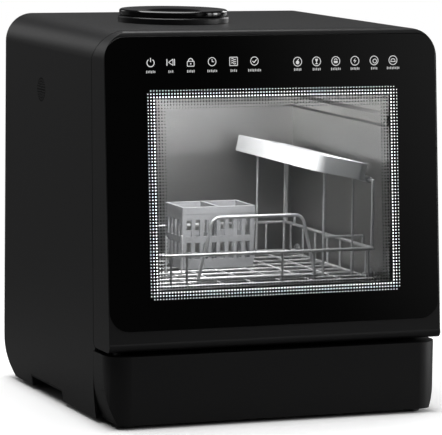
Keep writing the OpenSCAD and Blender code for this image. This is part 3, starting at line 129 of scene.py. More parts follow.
@dataclass(frozen=True)
class Finish:
    """A plain finish: one colour with a fine pattern that moves its gloss and its surface."""

    name: str
    colour: str
    roughness: float
    metallic: float = 0.0
    ior: float = 1.5
    grain_mm: float = 1.2
    depth_mm: float = 0.01
    spread: float = 0.05
    shade: float = 0.08
    lay: Lay = Lay.EVEN
    coat: float = 0.0
    alpha: float = 1.0

    def material(self) -> bpy.types.Material:
        """Finds this finish's material, or builds it the first time.

        Returns:
            The material, which every piece with this finish shares.
        """
        found = bpy.data.materials.get(self.name)
        if found is not None:
            return found
        made = bpy.data.materials.new(self.name)
        made.use_nodes = True
        tree = made.node_tree
        tree.nodes.clear()
        shader = add_node(tree, "ShaderNodeBsdfPrincipled")
        add_node(tree, "ShaderNodeOutputMaterial", inputs={"Surface": shader.outputs[0]})
        self.draw(tree, shader)
        return made

    def draw(self, tree: bpy.types.NodeTree, shader: bpy.types.Node) -> None:
        """Sets the shader's constants and draws the pattern into it.

        Args:
            tree: The material's tree.
            shader: Its Principled node.
        """
        shader.inputs["Metallic"].default_value = self.metallic
        shader.inputs["IOR"].default_value = self.ior
        shader.inputs["Alpha"].default_value = self.alpha
        shader.inputs["Coat Weight"].default_value = self.coat
        grain = self.grain(tree)
        rough = add_node(
            tree,
            RAMP,
            inputs={
                "Value": grain,
                "From Min": NOISE_SPAN[0],
                "From Max": NOISE_SPAN[1],
                "To Min": self.roughness - self.spread,
                "To Max": self.roughness + self.spread,
            },
        )
        tree.links.new(rough.outputs[0], shader.inputs["Roughness"])
        full = linear(self.colour)
        dull = tuple(c * (1 - self.shade) for c in full[:3]) + (1.0,)
        tint = add_node(
            tree, "ShaderNodeMix", {"data_type": "RGBA"}, {0: grain, 6: dull, 7: full}
        )
        tree.links.new(tint.outputs[2], shader.inputs["Base Color"])
        bump = add_node(
            tree,
            "ShaderNodeBump",
            inputs={"Height": grain, "Distance": self.depth_mm * MM, "Strength": 1.0},
        )
        tree.links.new(bump.outputs[0], shader.inputs["Normal"])

    def grain(self, tree: bpy.types.NodeTree) -> bpy.types.NodeSocket:
        """Draws the fine pattern on the object's own coordinates.

        Args:
            tree: The material's tree.

        Returns:
            A socket that runs from 0 to 1.
        """
        place = add_node(tree, "ShaderNodeTexCoord").outputs["Object"]
        laid = add_node(
            tree, "ShaderNodeMapping", inputs={"Vector": place, "Scale": self.lay.value}
        )
        noise = add_node(
            tree,
            "ShaderNodeTexNoise",
            inputs={
                "Vector": laid.outputs[0],
                "Scale": 1 / (self.grain_mm * MM),
                "Detail": NOISE_DETAIL,
                "Roughness": NOISE_ROUGHNESS,
            },
        )
        return noise.outputs[0]


@dataclass(frozen=True)
class WindowGlass(Finish):
    """Toughened float glass, printed black at the back all round a clear window.

    The mask is a rounded box on the object's coordinates, so the print has a crisp edge.
    """

    half_width_mm: float = 148.4
    low_mm: float = 159.4
    high_mm: float = 380.4
    tint: float = 0.12

    def draw(self, tree: bpy.types.NodeTree, shader: bpy.types.Node) -> None:
        """Draws the gloss, then the window as a drop in opacity.

        Args:
            tree: The material's tree.
            shader: Its Principled node.
        """
        super().draw(tree, shader)
        place = add_node(tree, "ShaderNodeTexCoord").outputs["Object"]
        axes = add_node(tree, "ShaderNodeSeparateXYZ", inputs={0: place}).outputs
        middle = (self.low_mm + self.high_mm) / 2 * MM
        rise = add_node(tree, MATHS, {"operation": "SUBTRACT"}, {0: axes[2], 1: middle})
        halves = (self.half_width_mm * MM, (self.high_mm - self.low_mm) / 2 * MM)
        tests = []
        for off, half in zip((axes[0], rise), halves):
            size = add_node(tree, MATHS, {"operation": "ABSOLUTE"}, {0: off})
            tests.append(add_node(tree, MATHS, {"operation": "LESS_THAN"}, {0: size, 1: half}))
        inside = add_node(tree, MATHS, {"operation": "MULTIPLY"}, dict(enumerate(tests)))
        alpha = add_node(tree, RAMP, inputs={"Value": inside, "To Min": 1.0, "To Max": self.tint})
        tree.links.new(alpha.outputs[0], shader.inputs["Alpha"])


@dataclass(frozen=True)
class Glowing(Finish):
    """A finish that also gives off its own light."""

    strength: float = 1.0
    glow: str = "#ffffff"

    def draw(self, tree: bpy.types.NodeTree, shader: bpy.types.Node) -> None:
        """Draws the plain finish and sets its glow."""
        super().draw(tree, shader)
        shader.inputs["Emission Color"].default_value = linear(self.glow)
        shader.inputs["Emission Strength"].default_value = self.strength


@dataclass(frozen=True)
class Backdrop(Glowing):
    """Paper that glows a little, but not where the object stands: there the glow is taken away,
    which paints shade under the object and a soft shadow round its foot on top of the lamps' real
    shadow.

    It thins out to nothing between the radii full and gone. The glow is out over the rectangle
    whose half sides are under, and fade is where it starts and is full again, in parts of them.
    """

    full: float = 0.5
    gone: float = 1.0
    shine: str = "#646464"
    under: tuple[float, float] = (0.205, 0.192)
    fade: tuple[float, float] = (0.95, 1.12)

    def draw(self, tree: bpy.types.NodeTree, shader: bpy.types.Node) -> None:
        """Draws the lit paper, which shines less on the object than it looks, its painted shadow
        round the object's foot, and its edge.

        Args:
            tree: The material's tree.
            shader: Its Principled node.
        """
        super().draw(tree, shader)
        seen = add_node(tree, "ShaderNodeLightPath").outputs["Is Camera Ray"]
        tone = add_node(
            tree,
            "ShaderNodeMix",
            {"data_type": "RGBA"},
            {0: seen, 6: linear(self.shine), 7: linear(self.colour)},
        )
        tree.links.new(tone.outputs[2], shader.inputs["Base Color"])
        place = add_node(tree, "ShaderNodeTexCoord").outputs["Object"]
        axes = add_node(tree, "ShaderNodeSeparateXYZ", inputs={0: place}).outputs
        shares = []
        for off, half in zip(axes, self.under):
            size = add_node(tree, MATHS, {"operation": "ABSOLUTE"}, {0: off})
            shares.append(add_node(tree, MATHS, {"operation": "DIVIDE"}, {0: size, 1: half}))
        # Painted shadow: the glow drops to nothing under the object and rises again just past its
        # foot, so the floor there is darker than the lamps' real shadow alone makes it.
        clear = add_node(
            tree,
            RAMP,
            {"interpolation_type": "SMOOTHSTEP"},
            {
                "Value": add_node(
                    tree, MATHS, {"operation": "MAXIMUM"}, dict(enumerate(shares))
                ),
                "From Min": self.fade[0],
                "From Max": self.fade[1],
                "To Min": 0.0,
                "To Max": self.strength,
            },
        )
        lit = add_node(tree, MATHS, {"operation": "MULTIPLY"}, {0: seen, 1: clear})
        tree.links.new(lit.outputs[0], shader.inputs["Emission Strength"])
        reach = add_node(
            tree, "ShaderNodeVectorMath", {"operation": "LENGTH"}, {0: place}
        ).outputs["Value"]
        thin = add_node(
            tree,
            RAMP,
            {"interpolation_type": "SMOOTHSTEP"},
            {
                "Value": reach,
                "From Min": self.full,
                "From Max": self.gone,
                "To Min": 1.0,
                "To Max": 0.0,
            },
        )
        tree.links.new(thin.outputs[0], shader.inputs["Alpha"])


@dataclass(frozen=True)
class BoardLaminate(Finish):
    """Glass-fibre laminate under green solder resist, with darker tracks across it.

    The wave texture's scale is wave_rate over the track's width. A track shows where the wave is
    higher than cut, and wander bends it.
    """

    track: str = "#0d2a1a"
    track_mm: float = 3.0
    wave_rate: float = 0.05
    wander: float = 1.5
    cut: float = 0.7

    def draw(self, tree: bpy.types.NodeTree, shader: bpy.types.Node) -> None:
        """Draws the resist, then the tracks as bands on one axis.

        Args:
            tree: The material's tree.
            shader: Its Principled node.
        """
        super().draw(tree, shader)
        place = add_node(tree, "ShaderNodeTexCoord").outputs["Object"]
        wave = add_node(
            tree,
            "ShaderNodeTexWave",
            {"bands_direction": "X"},
            {
                "Vector": place,
                "Scale": self.wave_rate / (self.track_mm * MM),
                "Distortion": self.wander,
            },
        )
        high = add_node(
            tree, MATHS, {"operation": "GREATER_THAN"}, {0: wave.outputs[1], 1: self.cut}
        )
        tracks = add_node(
            tree,
            "ShaderNodeMix",
            {"data_type": "RGBA"},
            {0: high, 6: linear(self.colour), 7: linear(self.track)},
        )
        tree.links.new(tracks.outputs[2], shader.inputs["Base Color"])


# Injection-moulded ABS with a fine spark-eroded skin: a soft sheen and no sharp reflections. The
# skin's grain is under 0.3 mm and is drawn at 1.2 mm, so that it shows.
MOULDED_ABS = Finish("moulded_black_abs", "#19191a", 0.42, grain_mm=1.2, depth_mm=0.006)
# The same ABS from a smoother mould: a little darker, with a narrower sheen.
CHARCOAL_ABS = Finish("moulded_charcoal_abs", "#161617", 0.34, grain_mm=1.2, depth_mm=0.006)
# ABS from a polished mould: near mirror gloss with faint flow waves.
POLISHED_ABS = Finish(
    "polished_black_abs", "#0a0a0b", 0.09, grain_mm=14, depth_mm=0.02, spread=0.02, coat=0.3
)
# Float glass printed black at the back: deep black with mirror gloss.
PRINTED_GLASS = WindowGlass(
    "printed_float_glass", "#030303", 0.03, ior=1.52, grain_mm=60, depth_mm=0.01, spread=0.01
)
# Clear float glass, seen through.
CLEAR_GLASS = Finish(
    "clear_float_glass", "#c8d0d2", 0.03, ior=1.52, grain_mm=60, depth_mm=0.01, spread=0.01,
    alpha=0.06,
)
# Ferritic stainless sheet, brushed along its length: grey with streaks some 0.5 mm apart.
BRUSHED_SHEET = Finish(
    "brushed_stainless_sheet", "#a9a9a8", 0.36, metallic=1.0, grain_mm=0.9, depth_mm=0.012,
    spread=0.08, shade=0.18, lay=Lay.ALONG_X,
)
# Stainless wire, blasted and pickled after welding: a pale satin grey with no sharp reflections.
SATIN_WIRE = Finish(
    "satin_stainless_wire", "#d2d3d4", 0.46, metallic=0.7, grain_mm=3, depth_mm=0.01, spread=0.06
)
# Polypropylene, moulded and left satin: milky, from nearly white to a mid grey.
PALE_PP = Finish("moulded_pale_polypropylene", "#c9cacb", 0.38, grain_mm=1.5, depth_mm=0.01)
GREY_PP = Finish("moulded_grey_polypropylene", "#8f9092", 0.42, grain_mm=1.5, depth_mm=0.01)
MID_PP = Finish("moulded_mid_grey_polypropylene", "#7a7b7d", 0.42, grain_mm=1.5, depth_mm=0.01)
WHITE_PP = Finish("moulded_white_polypropylene", "#d6d7d8", 0.38, grain_mm=1.5, depth_mm=0.01)
# Glass-filled polypropylene: dark, matte, with a speckle of fibres.
FILLED_PP = Finish(
    "glass_filled_polypropylene", "#242527", 0.6, grain_mm=0.8, depth_mm=0.02, shade=0.25
)
# Blow-moulded polyethylene: milky and half clear, with waves of uneven wall.
TANK_PE = Finish(
    "blow_moulded_polyethylene", "#b9c2c6", 0.45, grain_mm=12, depth_mm=0.15, shade=0.12, alpha=0.8
)
# Moulded rubber: matte and dusty.
FOOT_RUBBER = Finish("moulded_grey_rubber", "#5a5a5a", 0.7, grain_mm=0.8, depth_mm=0.02, shade=0.2)
SEAL_RUBBER = Finish("extruded_black_rubber", "#1b1b1c", 0.65, grain_mm=0.8, depth_mm=0.02)
# Steel screws, zinc plated: dull grey with a crystalline cloud.
ZINC_STEEL = Finish(
    "zinc_plated_steel", "#8d8f92", 0.42, metallic=1.0, grain_mm=2.5, depth_mm=0.005, spread=0.1
)
# Blackened screw steel: dark, with a thin oil sheen.
BLACK_STEEL = Finish("blackened_steel", "#3a3b3d", 0.4, metallic=1.0, grain_mm=1, depth_mm=0.01)
# Ground round steel: fine rings across the pin.
GROUND_STEEL = Finish(
    "ground_steel_rod", "#b6b7b9", 0.25, metallic=1.0, grain_mm=0.6, depth_mm=0.004, lay=Lay.ALONG_Y
)
# Heater tube of nickel alloy, oxidised brown-grey by the heat.
HEATER_TUBE = Finish(
    "oxidised_nickel_alloy_tube", "#8b8680", 0.38, metallic=1.0, grain_mm=5, shade=0.3
)
# Opal acrylic over white lamps: even, soft white light.
OPAL_ACRYLIC = Glowing("opal_acrylic", "#f2f4f6", 0.35, strength=9.0, glow="#f6f8ff")
# Printed circuit board: satin green with darker bands.
BOARD = BoardLaminate("solder_resist_laminate", "#1c4a30", 0.4, grain_mm=2, depth_mm=0.01)
# Screen-printed enamel, fired onto the glass: flat pale grey. It also glows, though no lamp is
# behind it: the glow is painted light that makes the print look lit. The words glow dimmer than the
# symbols, and the dots glow most, as painted light standing in for the window's light behind them.
PRINT_ENAMEL = Glowing("fired_white_enamel", "#b4b4b4", 0.5, strength=0.55, glow="#ffffff")
LABEL_ENAMEL = Glowing("fired_grey_enamel", "#8a8a8a", 0.5, strength=0.45, glow="#ffffff")
DOT_ENAMEL = Glowing("fired_dot_enamel", "#9a9a9a", 0.5, strength=1.9, glow="#ffffff")
# The same enamel in black: flat, with a dull sheen.
BLACK_ENAMEL = Finish("fired_black_enamel", "#050505", 0.35, grain_mm=2)

FINISH_OF_SLOT: dict[str, Finish] = {
    "housing_plastic": MOULDED_ABS,
    "collar_plastic": CHARCOAL_ABS,
    "cap_plastic": POLISHED_ABS,
    "door_glass": PRINTED_GLASS,
    "inner_glass": CLEAR_GLASS,
    "inner_steel": BRUSHED_SHEET,
    "wire_steel": SATIN_WIRE,
    "shelf_plastic": PALE_PP,
    "basket_plastic": GREY_PP,
    "rail_plastic": GREY_PP,
    "wheel_plastic": MID_PP,
    "dark_plastic": FILLED_PP,
    "grey_plastic": MID_PP,
    "pale_plastic": WHITE_PP,
    "tank_plastic": TANK_PE,
    "lamp_diffuser": OPAL_ACRYLIC,
    "feet_rubber": FOOT_RUBBER,
    "seal_rubber": SEAL_RUBBER,
    "screw_steel": BLACK_STEEL,
    "pin_steel": GROUND_STEEL,
    "bracket_steel": ZINC_STEEL,
    "heater_steel": HEATER_TUBE,
    "board_laminate": BOARD,
}


# The record's material slot of each solid, which is its imported material's name.
SLOTS = {name: part.data.materials[0].name.split(".")[0] for name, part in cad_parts.items()}


def slot_of(node: str) -> str:
    """Returns the record's material slot of a solid."""
    return str(SLOTS[node])


def new_object(name: str, mesh: bpy.types.Mesh, finish: Finish) -> bpy.types.Object:
    """Links a mesh into the scene with one finish.

    Args:
        name: The piece's name.
        mesh: Its mesh, already in place.
        finish: What it is made of.

    Returns:
        The new object, at the origin.
    """
    made = bpy.data.objects.new(name, mesh)
    mesh.materials.clear()
    mesh.materials.append(finish.material())
    bpy.context.scene.collection.objects.link(made)
    return made


def mesh_from(shape: bmesh.types.BMesh, name: str) -> bpy.types.Mesh:
    """Turns a finished shape into a mesh, and frees the shape.

    Args:
        shape: The finished shape.
        name: The mesh's name.

    Returns:
        The new mesh.
    """
    mesh = bpy.data.meshes.new(name)
    shape.to_mesh(mesh)
    shape.free()
    return mesh


def round_edges(
    made: bpy.types.Object, method: str, round_mm: float, segments: int
) -> bpy.types.BevelModifier:
    """Adds live rounding to a piece.

    Args:
        made: The piece.
        method: What chooses the edges, as the Bevel modifier names it.
        round_mm: How far they are rounded.
        segments: How many steps a rounded edge has.

    Returns:
        The new modifier.
    """
    soften = made.modifiers.new("rounding", "BEVEL")
    soften.limit_method = method
    soften.width = round_mm * MM
    soften.segments = segments
    return soften


def shade_evenly(made: bpy.types.Object) -> bpy.types.WeightedNormalModifier:
    """Adds shading that keeps large faces flat between rounded edges.

    Args:
        made: The piece.

    Returns:
        The new modifier.
    """
    even = made.modifiers.new("even_shading", "WEIGHTED_NORMAL")
    even.keep_sharp = True
    return even


@dataclass(frozen=True)
class SoftenedSolid:
    """A solid shown as a copy of itself, with its long edges rounded off as a mould leaves them."""

    node: str
    body: str
    round_mm: float = 0.6
    segments: int = 3
    corner: float = math.radians(38)
    keep: Callable[[Vector], bool] = field(default=lambda place: True)

    def build(self) -> bpy.types.Object:
        """Builds the copy, which then stands for the solid.

        Returns:
            The rounded copy, riding on the solid's body.
        """
        name = f"{self.node}_skin"
        shape = bmesh.new()
        shape.from_mesh(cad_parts[self.node].data)
        bmesh.ops.remove_doubles(shape, verts=shape.verts, dist=WELD)
        bmesh.ops.dissolve_limit(
            shape, angle_limit=FLAT, verts=shape.verts, edges=shape.edges
        )
        weight = shape.edges.layers.float.new("bevel_weight_edge")
        for face in shape.faces:
            face.smooth = True
        for edge in shape.edges:
            if len(edge.link_faces) != 2 or edge.calc_face_angle(0.0) < self.corner:
                continue
            middle = (edge.verts[0].co + edge.verts[1].co) / 2
            if self.keep(middle):
                edge[weight] = 1.0
            else:
                edge.smooth = False
        mesh = mesh_from(shape, name)
        for stale in [a for a in mesh.attributes if a.name == "custom_normal"]:
            mesh.attributes.remove(stale)
        made = new_object(name, mesh, FINISH_OF_SLOT[slot_of(self.node)])
        round_edges(made, "WEIGHT", self.round_mm, self.segments)
        shade_evenly(made).weight = SHADING_WEIGHT
        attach(made, self.body)
        slot_of(self.node)
        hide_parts(self.node)
        return made


def revolved(name: str, axis: Point, profile: Sequence[Point], steps: int, finish: Finish,
             round_mm: float) -> bpy.types.Object:
    """Turns a closed profile round an upright axis.

    Args:
        name: The piece's name.
        axis: The axis's place, x and y, in metres.
        profile: Corners as radius and height, in metres, once round the section.
        steps: How many steps one turn has.
        finish: What it is made of.
        round_mm: How far the corners are rounded.

    Returns:
        The closed turned piece.
    """
    shape = bmesh.new()
    rings: list[list[bmesh.types.BMVert]] = []
    for radius, height in profile:
        if radius < WELD:
            rings.append([shape.verts.new((axis[0], axis[1], height))] * steps)
            continue
        turns = [2 * math.pi * k / steps for k in range(steps)]
        spots = [(axis[0] + radius * math.cos(t), axis[1] + radius * math.sin(t)) for t in turns]
        rings.append([shape.verts.new((x, y, height)) for x, y in spots])
    for a, b in zip(rings, rings[1:] + rings[:1]):
        for k in range(steps):
            corners = dict.fromkeys((a[k], a[(k + 1) % steps], b[(k + 1) % steps], b[k]))
            if len(corners) > 2:
                shape.faces.new(list(corners))
    bmesh.ops.recalc_face_normals(shape, faces=shape.faces)
    for face in shape.faces:
        face.smooth = True
    made = new_object(name, mesh_from(shape, name), finish)
    round_edges(made, "ANGLE", round_mm, 3).angle_limit = TURNED_CORNER
    shade_evenly(made)
    return made


@dataclass(frozen=True)
class Filler:
    """The round filler on the top: a satin collar and a gloss cap with a dished middle.

    The dish is given as radius and depth, from its lip to its middle. The shoulder is how far the
    cap's upper corner is cut in and down.
    """

    centre_x_mm: float = -62.0
    steps: int = 144
    bore_mm: float = 37.0
    collar_cut_mm: float = 1.2
    plug_mm: float = 25.0
    disc_mm: float = 7.7
    foot_cut_mm: float = 1.4
    shoulder_mm: Point = (1.8, 1.6)
    lip_mm: float = 7.4
    dish_mm: tuple[Point, ...] = ((36, 1.6), (33, 2.6), (23, 6.6), (8, 7.6), (0, 7.6))

    def build(self) -> Iterator[bpy.types.Object]:
        """Builds the collar and the cap in place of their solids.

        Returns:
            Each piece, once it is built.
        """
        axis = (self.centre_x_mm * MM, 0.0)
        low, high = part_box("filler_collar")
        outer = (high.x - low.x) / 2
        inner = self.bore_mm * MM
        cut = self.collar_cut_mm * MM
        section = [(inner, low.z), (outer, low.z), (outer, high.z - cut), (outer - cut, high.z),
                   (inner, high.z)]
        collar = revolved(
            "filler_collar_ring", axis, section, self.steps, CHARCOAL_ABS, round_mm=0.5
        )
        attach(collar, "housing")
        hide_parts("filler_collar")
        yield collar
        low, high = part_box("filler_cap")
        top = high.z
        rim = (high.x - low.x) / 2
        base = top - self.disc_mm * MM
        plug, foot = self.plug_mm * MM, self.foot_cut_mm * MM
        inwards, down = (side * MM for side in self.shoulder_mm)
        section = [(0, low.z), (plug, low.z), (plug, base), (rim - foot, base),
                   (rim, base + foot), (rim, top - down), (rim - inwards, top),
                   (rim - self.lip_mm * MM, top)]
        section += [(radius * MM, top - depth * MM) for radius, depth in self.dish_mm]
        cap = revolved("filler_cap_dish", axis, section, self.steps, POLISHED_ABS, round_mm=0.7)
        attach(cap, "filler_cap")
        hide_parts("filler_cap")
        yield cap


@dataclass(frozen=True)
class DoorPlane:
    """The leaning front of the door."""

    y: float = -0.195
    z: float = 0.090
    lean: float = math.radians(4.88)
    glass_out_mm: float = 0.65

    def place(self, proud_mm: float) -> Matrix:
        """Returns the move from x across, y up the slope, z outwards, to the object's frame.

        Args:
            proud_mm: The height above the glass's outer face.

        Returns:
            The move as a matrix.
        """
        out = (self.glass_out_mm + proud_mm) * MM
        return (
            Matrix.Translation((0, self.y, self.z))
            @ Matrix.Rotation(math.pi / 2 - self.lean, 4, "X")
            @ Matrix.Translation((0, 0, out))
        )

    def up(self, z_mm: float) -> float:
        """Returns how far up the slope a height above the table lies, in metres."""
        return (z_mm * MM - self.z) / math.cos(self.lean)


@dataclass(frozen=True)
class DotRows:
    """Rows of printed dots that run round the window, one dot at each point of a grid.

    Row 0 is the outermost. The radius goes from first_radius_mm to last_radius_mm inwards.
    """

    name: str
    finish: Finish
    columns: int
    rows: int
    first: int
    last: int
    first_radius_mm: float
    last_radius_mm: float
    pitch_mm: float = 3.7
    thick_mm: float = 0.04
    sides: int = 8

    def sockets(self) -> tuple[tuple[str, str, Any], ...]:
        """Returns each of the tree's inputs as its name, kind and value, in metres."""
        return (
            ("Columns", "Int", self.columns),
            ("Rows", "Int", self.rows),
            ("Pitch", "Float", self.pitch_mm * MM),
            ("First Row", "Float", float(self.first)),
            ("Last Row", "Float", float(self.last)),
            ("First Radius", "Float", self.first_radius_mm * MM),
            ("Last Radius", "Float", self.last_radius_mm * MM),
            ("Thickness", "Float", self.thick_mm * MM),
            ("Sides", "Int", self.sides),
            ("Enamel", "Material", self.finish.material()),
        )

    def tree(self) -> bpy.types.NodeTree:
        """Builds the geometry nodes: a grid, its rows counted from outside, and a dot on each.

        Returns:
            The tree, which ends in plain painted geometry.
        """
        tree = bpy.data.node_groups.new(f"{self.name}_tree", "GeometryNodeTree")
        tree.interface.new_socket("Geometry", in_out="OUTPUT", socket_type="NodeSocketGeometry")
        for label, kind, _ in self.sockets():
            tree.interface.new_socket(label, in_out="INPUT", socket_type=f"NodeSocket{kind}")
        given = add_node(tree, "NodeGroupInput").outputs
        pitch = given["Pitch"]
        spans = []
        for count in ("Columns", "Rows"):
            gaps = add_node(tree, MATHS, {"operation": "SUBTRACT"}, {0: given[count], 1: 1.0})
            spans.append(add_node(tree, MATHS, {"operation": "MULTIPLY"}, {0: gaps, 1: pitch}))
        grid = add_node(
            tree,
            "GeometryNodeMeshGrid",
            inputs={
                "Size X": spans[0],
                "Size Y": spans[1],
                "Vertices X": given["Columns"],
                "Vertices Y": given["Rows"],
            },
        )
        where = add_node(tree, "GeometryNodeInputPosition")
        axes = add_node(tree, "ShaderNodeSeparateXYZ", inputs={0: where}).outputs
        depths = []
        for off, span in zip(axes, spans):
            size = add_node(tree, MATHS, {"operation": "ABSOLUTE"}, {0: off})
            half = add_node(tree, MATHS, {"operation": "MULTIPLY"}, {0: span, 1: 0.5})
            edge = add_node(tree, MATHS, {"operation": "SUBTRACT"}, {0: half, 1: size})
            depths.append(add_node(tree, MATHS, {"operation": "DIVIDE"}, {0: edge, 1: pitch}))
        both = dict(enumerate(depths))
        least = add_node(tree, MATHS, {"operation": "MINIMUM"}, both)
        row = add_node(tree, MATHS, {"operation": "ROUND"}, {0: least})
        outer = add_node(tree, MATHS, {"operation": "SUBTRACT"}, {0: given["First Row"], 1: 0.5})
        inner = add_node(tree, MATHS, {"operation": "ADD"}, {0: given["Last Row"], 1: 0.5})
        past = add_node(tree, MATHS, {"operation": "GREATER_THAN"}, {0: row, 1: outer})
        short = add_node(tree, MATHS, {"operation": "LESS_THAN"}, {0: row, 1: inner})
        chosen = add_node(tree, MATHS, {"operation": "MULTIPLY"}, {0: past, 1: short})
        away = add_node(tree, MATHS, {"operation": "ADD"}, both)
        off_corner = add_node(tree, MATHS, {"operation": "GREATER_THAN"}, {0: away, 1: 0.5})
        drawn = add_node(tree, MATHS, {"operation": "MULTIPLY"}, {0: chosen, 1: off_corner})
        radius = add_node(
            tree,
            RAMP,
            inputs={
                "Value": row,
                "From Min": given["First Row"],
                "From Max": given["Last Row"],
                "To Min": given["First Radius"],
                "To Max": given["Last Radius"],
            },
        )
        size = add_node(
            tree, "ShaderNodeCombineXYZ", inputs={0: radius, 1: radius, 2: given["Thickness"]}
        )
        dot = add_node(
            tree,
            "GeometryNodeMeshCylinder",
            inputs={"Vertices": given["Sides"], "Radius": 1.0, "Depth": 1.0},
        )
        dots = add_node(
            tree,
            "GeometryNodeInstanceOnPoints",
            inputs={"Points": grid, "Selection": drawn, "Instance": dot, "Scale": size},
        )
        real = add_node(tree, "GeometryNodeRealizeInstances", inputs={0: dots})
        painted = add_node(
            tree,
            "GeometryNodeSetMaterial",
            inputs={"Geometry": real, "Material": given["Enamel"]},
        )
        add_node(tree, "NodeGroupOutput", inputs={0: painted})
        return tree

    def build(self, place: Matrix) -> bpy.types.Object:
        """Makes the dots as one plain mesh.

        Args:
            place: The move from the grid's own plane to the object's frame.

        Returns:
            The dots, riding on the door.
        """
        tree = self.tree()
        seed = bpy.data.objects.new(f"{self.name}_seed", bpy.data.meshes.new(f"{self.name}_seed"))
        bpy.context.scene.collection.objects.link(seed)
        rows = seed.modifiers.new("rows", "NODES")
        rows.node_group = tree
        values = {label: value for label, _, value in self.sockets()}
        for item in tree.interface.items_tree:
            if item.in_out == "INPUT":
                rows[item.identifier] = values[item.name]
        graph = bpy.context.evaluated_depsgraph_get()
        mesh = bpy.data.meshes.new_from_object(seed.evaluated_get(graph))
        bpy.data.objects.remove(seed)
        mesh.transform(place)
        made = new_object(self.name, mesh, self.finish)
        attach(made, "door")
        return made


class PrintedShapes:
    """Thin closed shapes gathered in one mesh, in millimetres on the door's front."""

    def __init__(self, thick_mm: float = 0.05) -> None:
        """Starts an empty mesh whose shapes are thick_mm high."""
        self.shape = bmesh.new()
        self.thick = thick_mm * MM

    def prism(self, points: Sequence[Point]) -> None:
        """Adds a closed plate.

        Args:
            points: Its corners in order.
        """
        low, high = (
            [self.shape.verts.new((x * MM, y * MM, z)) for x, y in points]
            for z in (0.0, self.thick)
        )
        self.shape.faces.new(high)
        self.shape.faces.new(low[::-1])
        count = len(points)
        for k in range(count):
            n = (k + 1) % count
            self.shape.faces.new((low[k], low[n], high[n], high[k]))

    def bar(self, a: Point, b: Point, width: float) -> None:
        """Adds a straight stroke.

        Args:
            a: Where it starts.
            b: Where it ends.
            width: Its width.
        """
        run = Vector(b) - Vector(a)
        side = Vector((-run.y, run.x)).normalized() * width / 2
        ends = (Vector(a) + side, Vector(a) - side, Vector(b) - side, Vector(b) + side)
        self.prism([(p.x, p.y) for p in ends])

    def arc(self, centre: Point, radius: float, width: float, start: float = 0.0,
            end: float = 360.0, steps: int = 28) -> None:
        """Adds a curved stroke.

        Args:
            centre: The arc's centre.
            radius: The radius of the stroke's middle.
            width: The stroke's width.
            start: Where it starts, in degrees.
            end: Where it ends, in degrees.
            steps: How many straight runs it has.
        """
        closed = end - start >= 360
        turns = [math.radians(start + (end - start) * k / steps) for k in range(steps + 1)]
        if closed:
            turns = turns[:-1]
        inner, outer = radius - width / 2, radius + width / 2
        section = ((inner, 0.0), (outer, 0.0), (outer, self.thick), (inner, self.thick))
        rings = []
        for turn in turns:
            way = (math.cos(turn), math.sin(turn))
            spots = [
                ((centre[0] + way[0] * r) * MM, (centre[1] + way[1] * r) * MM, z)
                for r, z in section
            ]
            rings.append([self.shape.verts.new(spot) for spot in spots])
        pairs = list(zip(rings, rings[1:] + (rings[:1] if closed else [])))
        for a, b in pairs:
            for k in range(len(section)):
                n = (k + 1) % len(section)
                self.shape.faces.new((a[k], a[n], b[n], b[k]))
        if not closed:
            self.shape.faces.new(rings[0][::-1])
            self.shape.faces.new(rings[-1])

    def disc(self, centre: Point, radius: float, sides: int = 20) -> None:
        """Adds a round dot.

        Args:
            centre: Its middle.
            radius: Its radius.
            sides: How many straight sides it has.
        """
        turns = [2 * math.pi * k / sides for k in range(sides)]
        self.prism([(centre[0] + radius * math.cos(t), centre[1] + radius * math.sin(t))
                    for t in turns])

    def build(self, name: str, finish: Finish, place: Matrix) -> bpy.types.Object:
        """Closes the mesh and puts it on the door.

        Args:
            name: The piece's name.
            finish: What it is printed with.
            place: The move from the door's plane to the object's frame.

        Returns:
            The piece, riding on the door.
        """
        bmesh.ops.recalc_face_normals(self.shape, faces=self.shape.faces)
        mesh = mesh_from(self.shape, name)
        mesh.transform(place)
        made = new_object(name, mesh, finish)
        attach(made, "door")
        return made


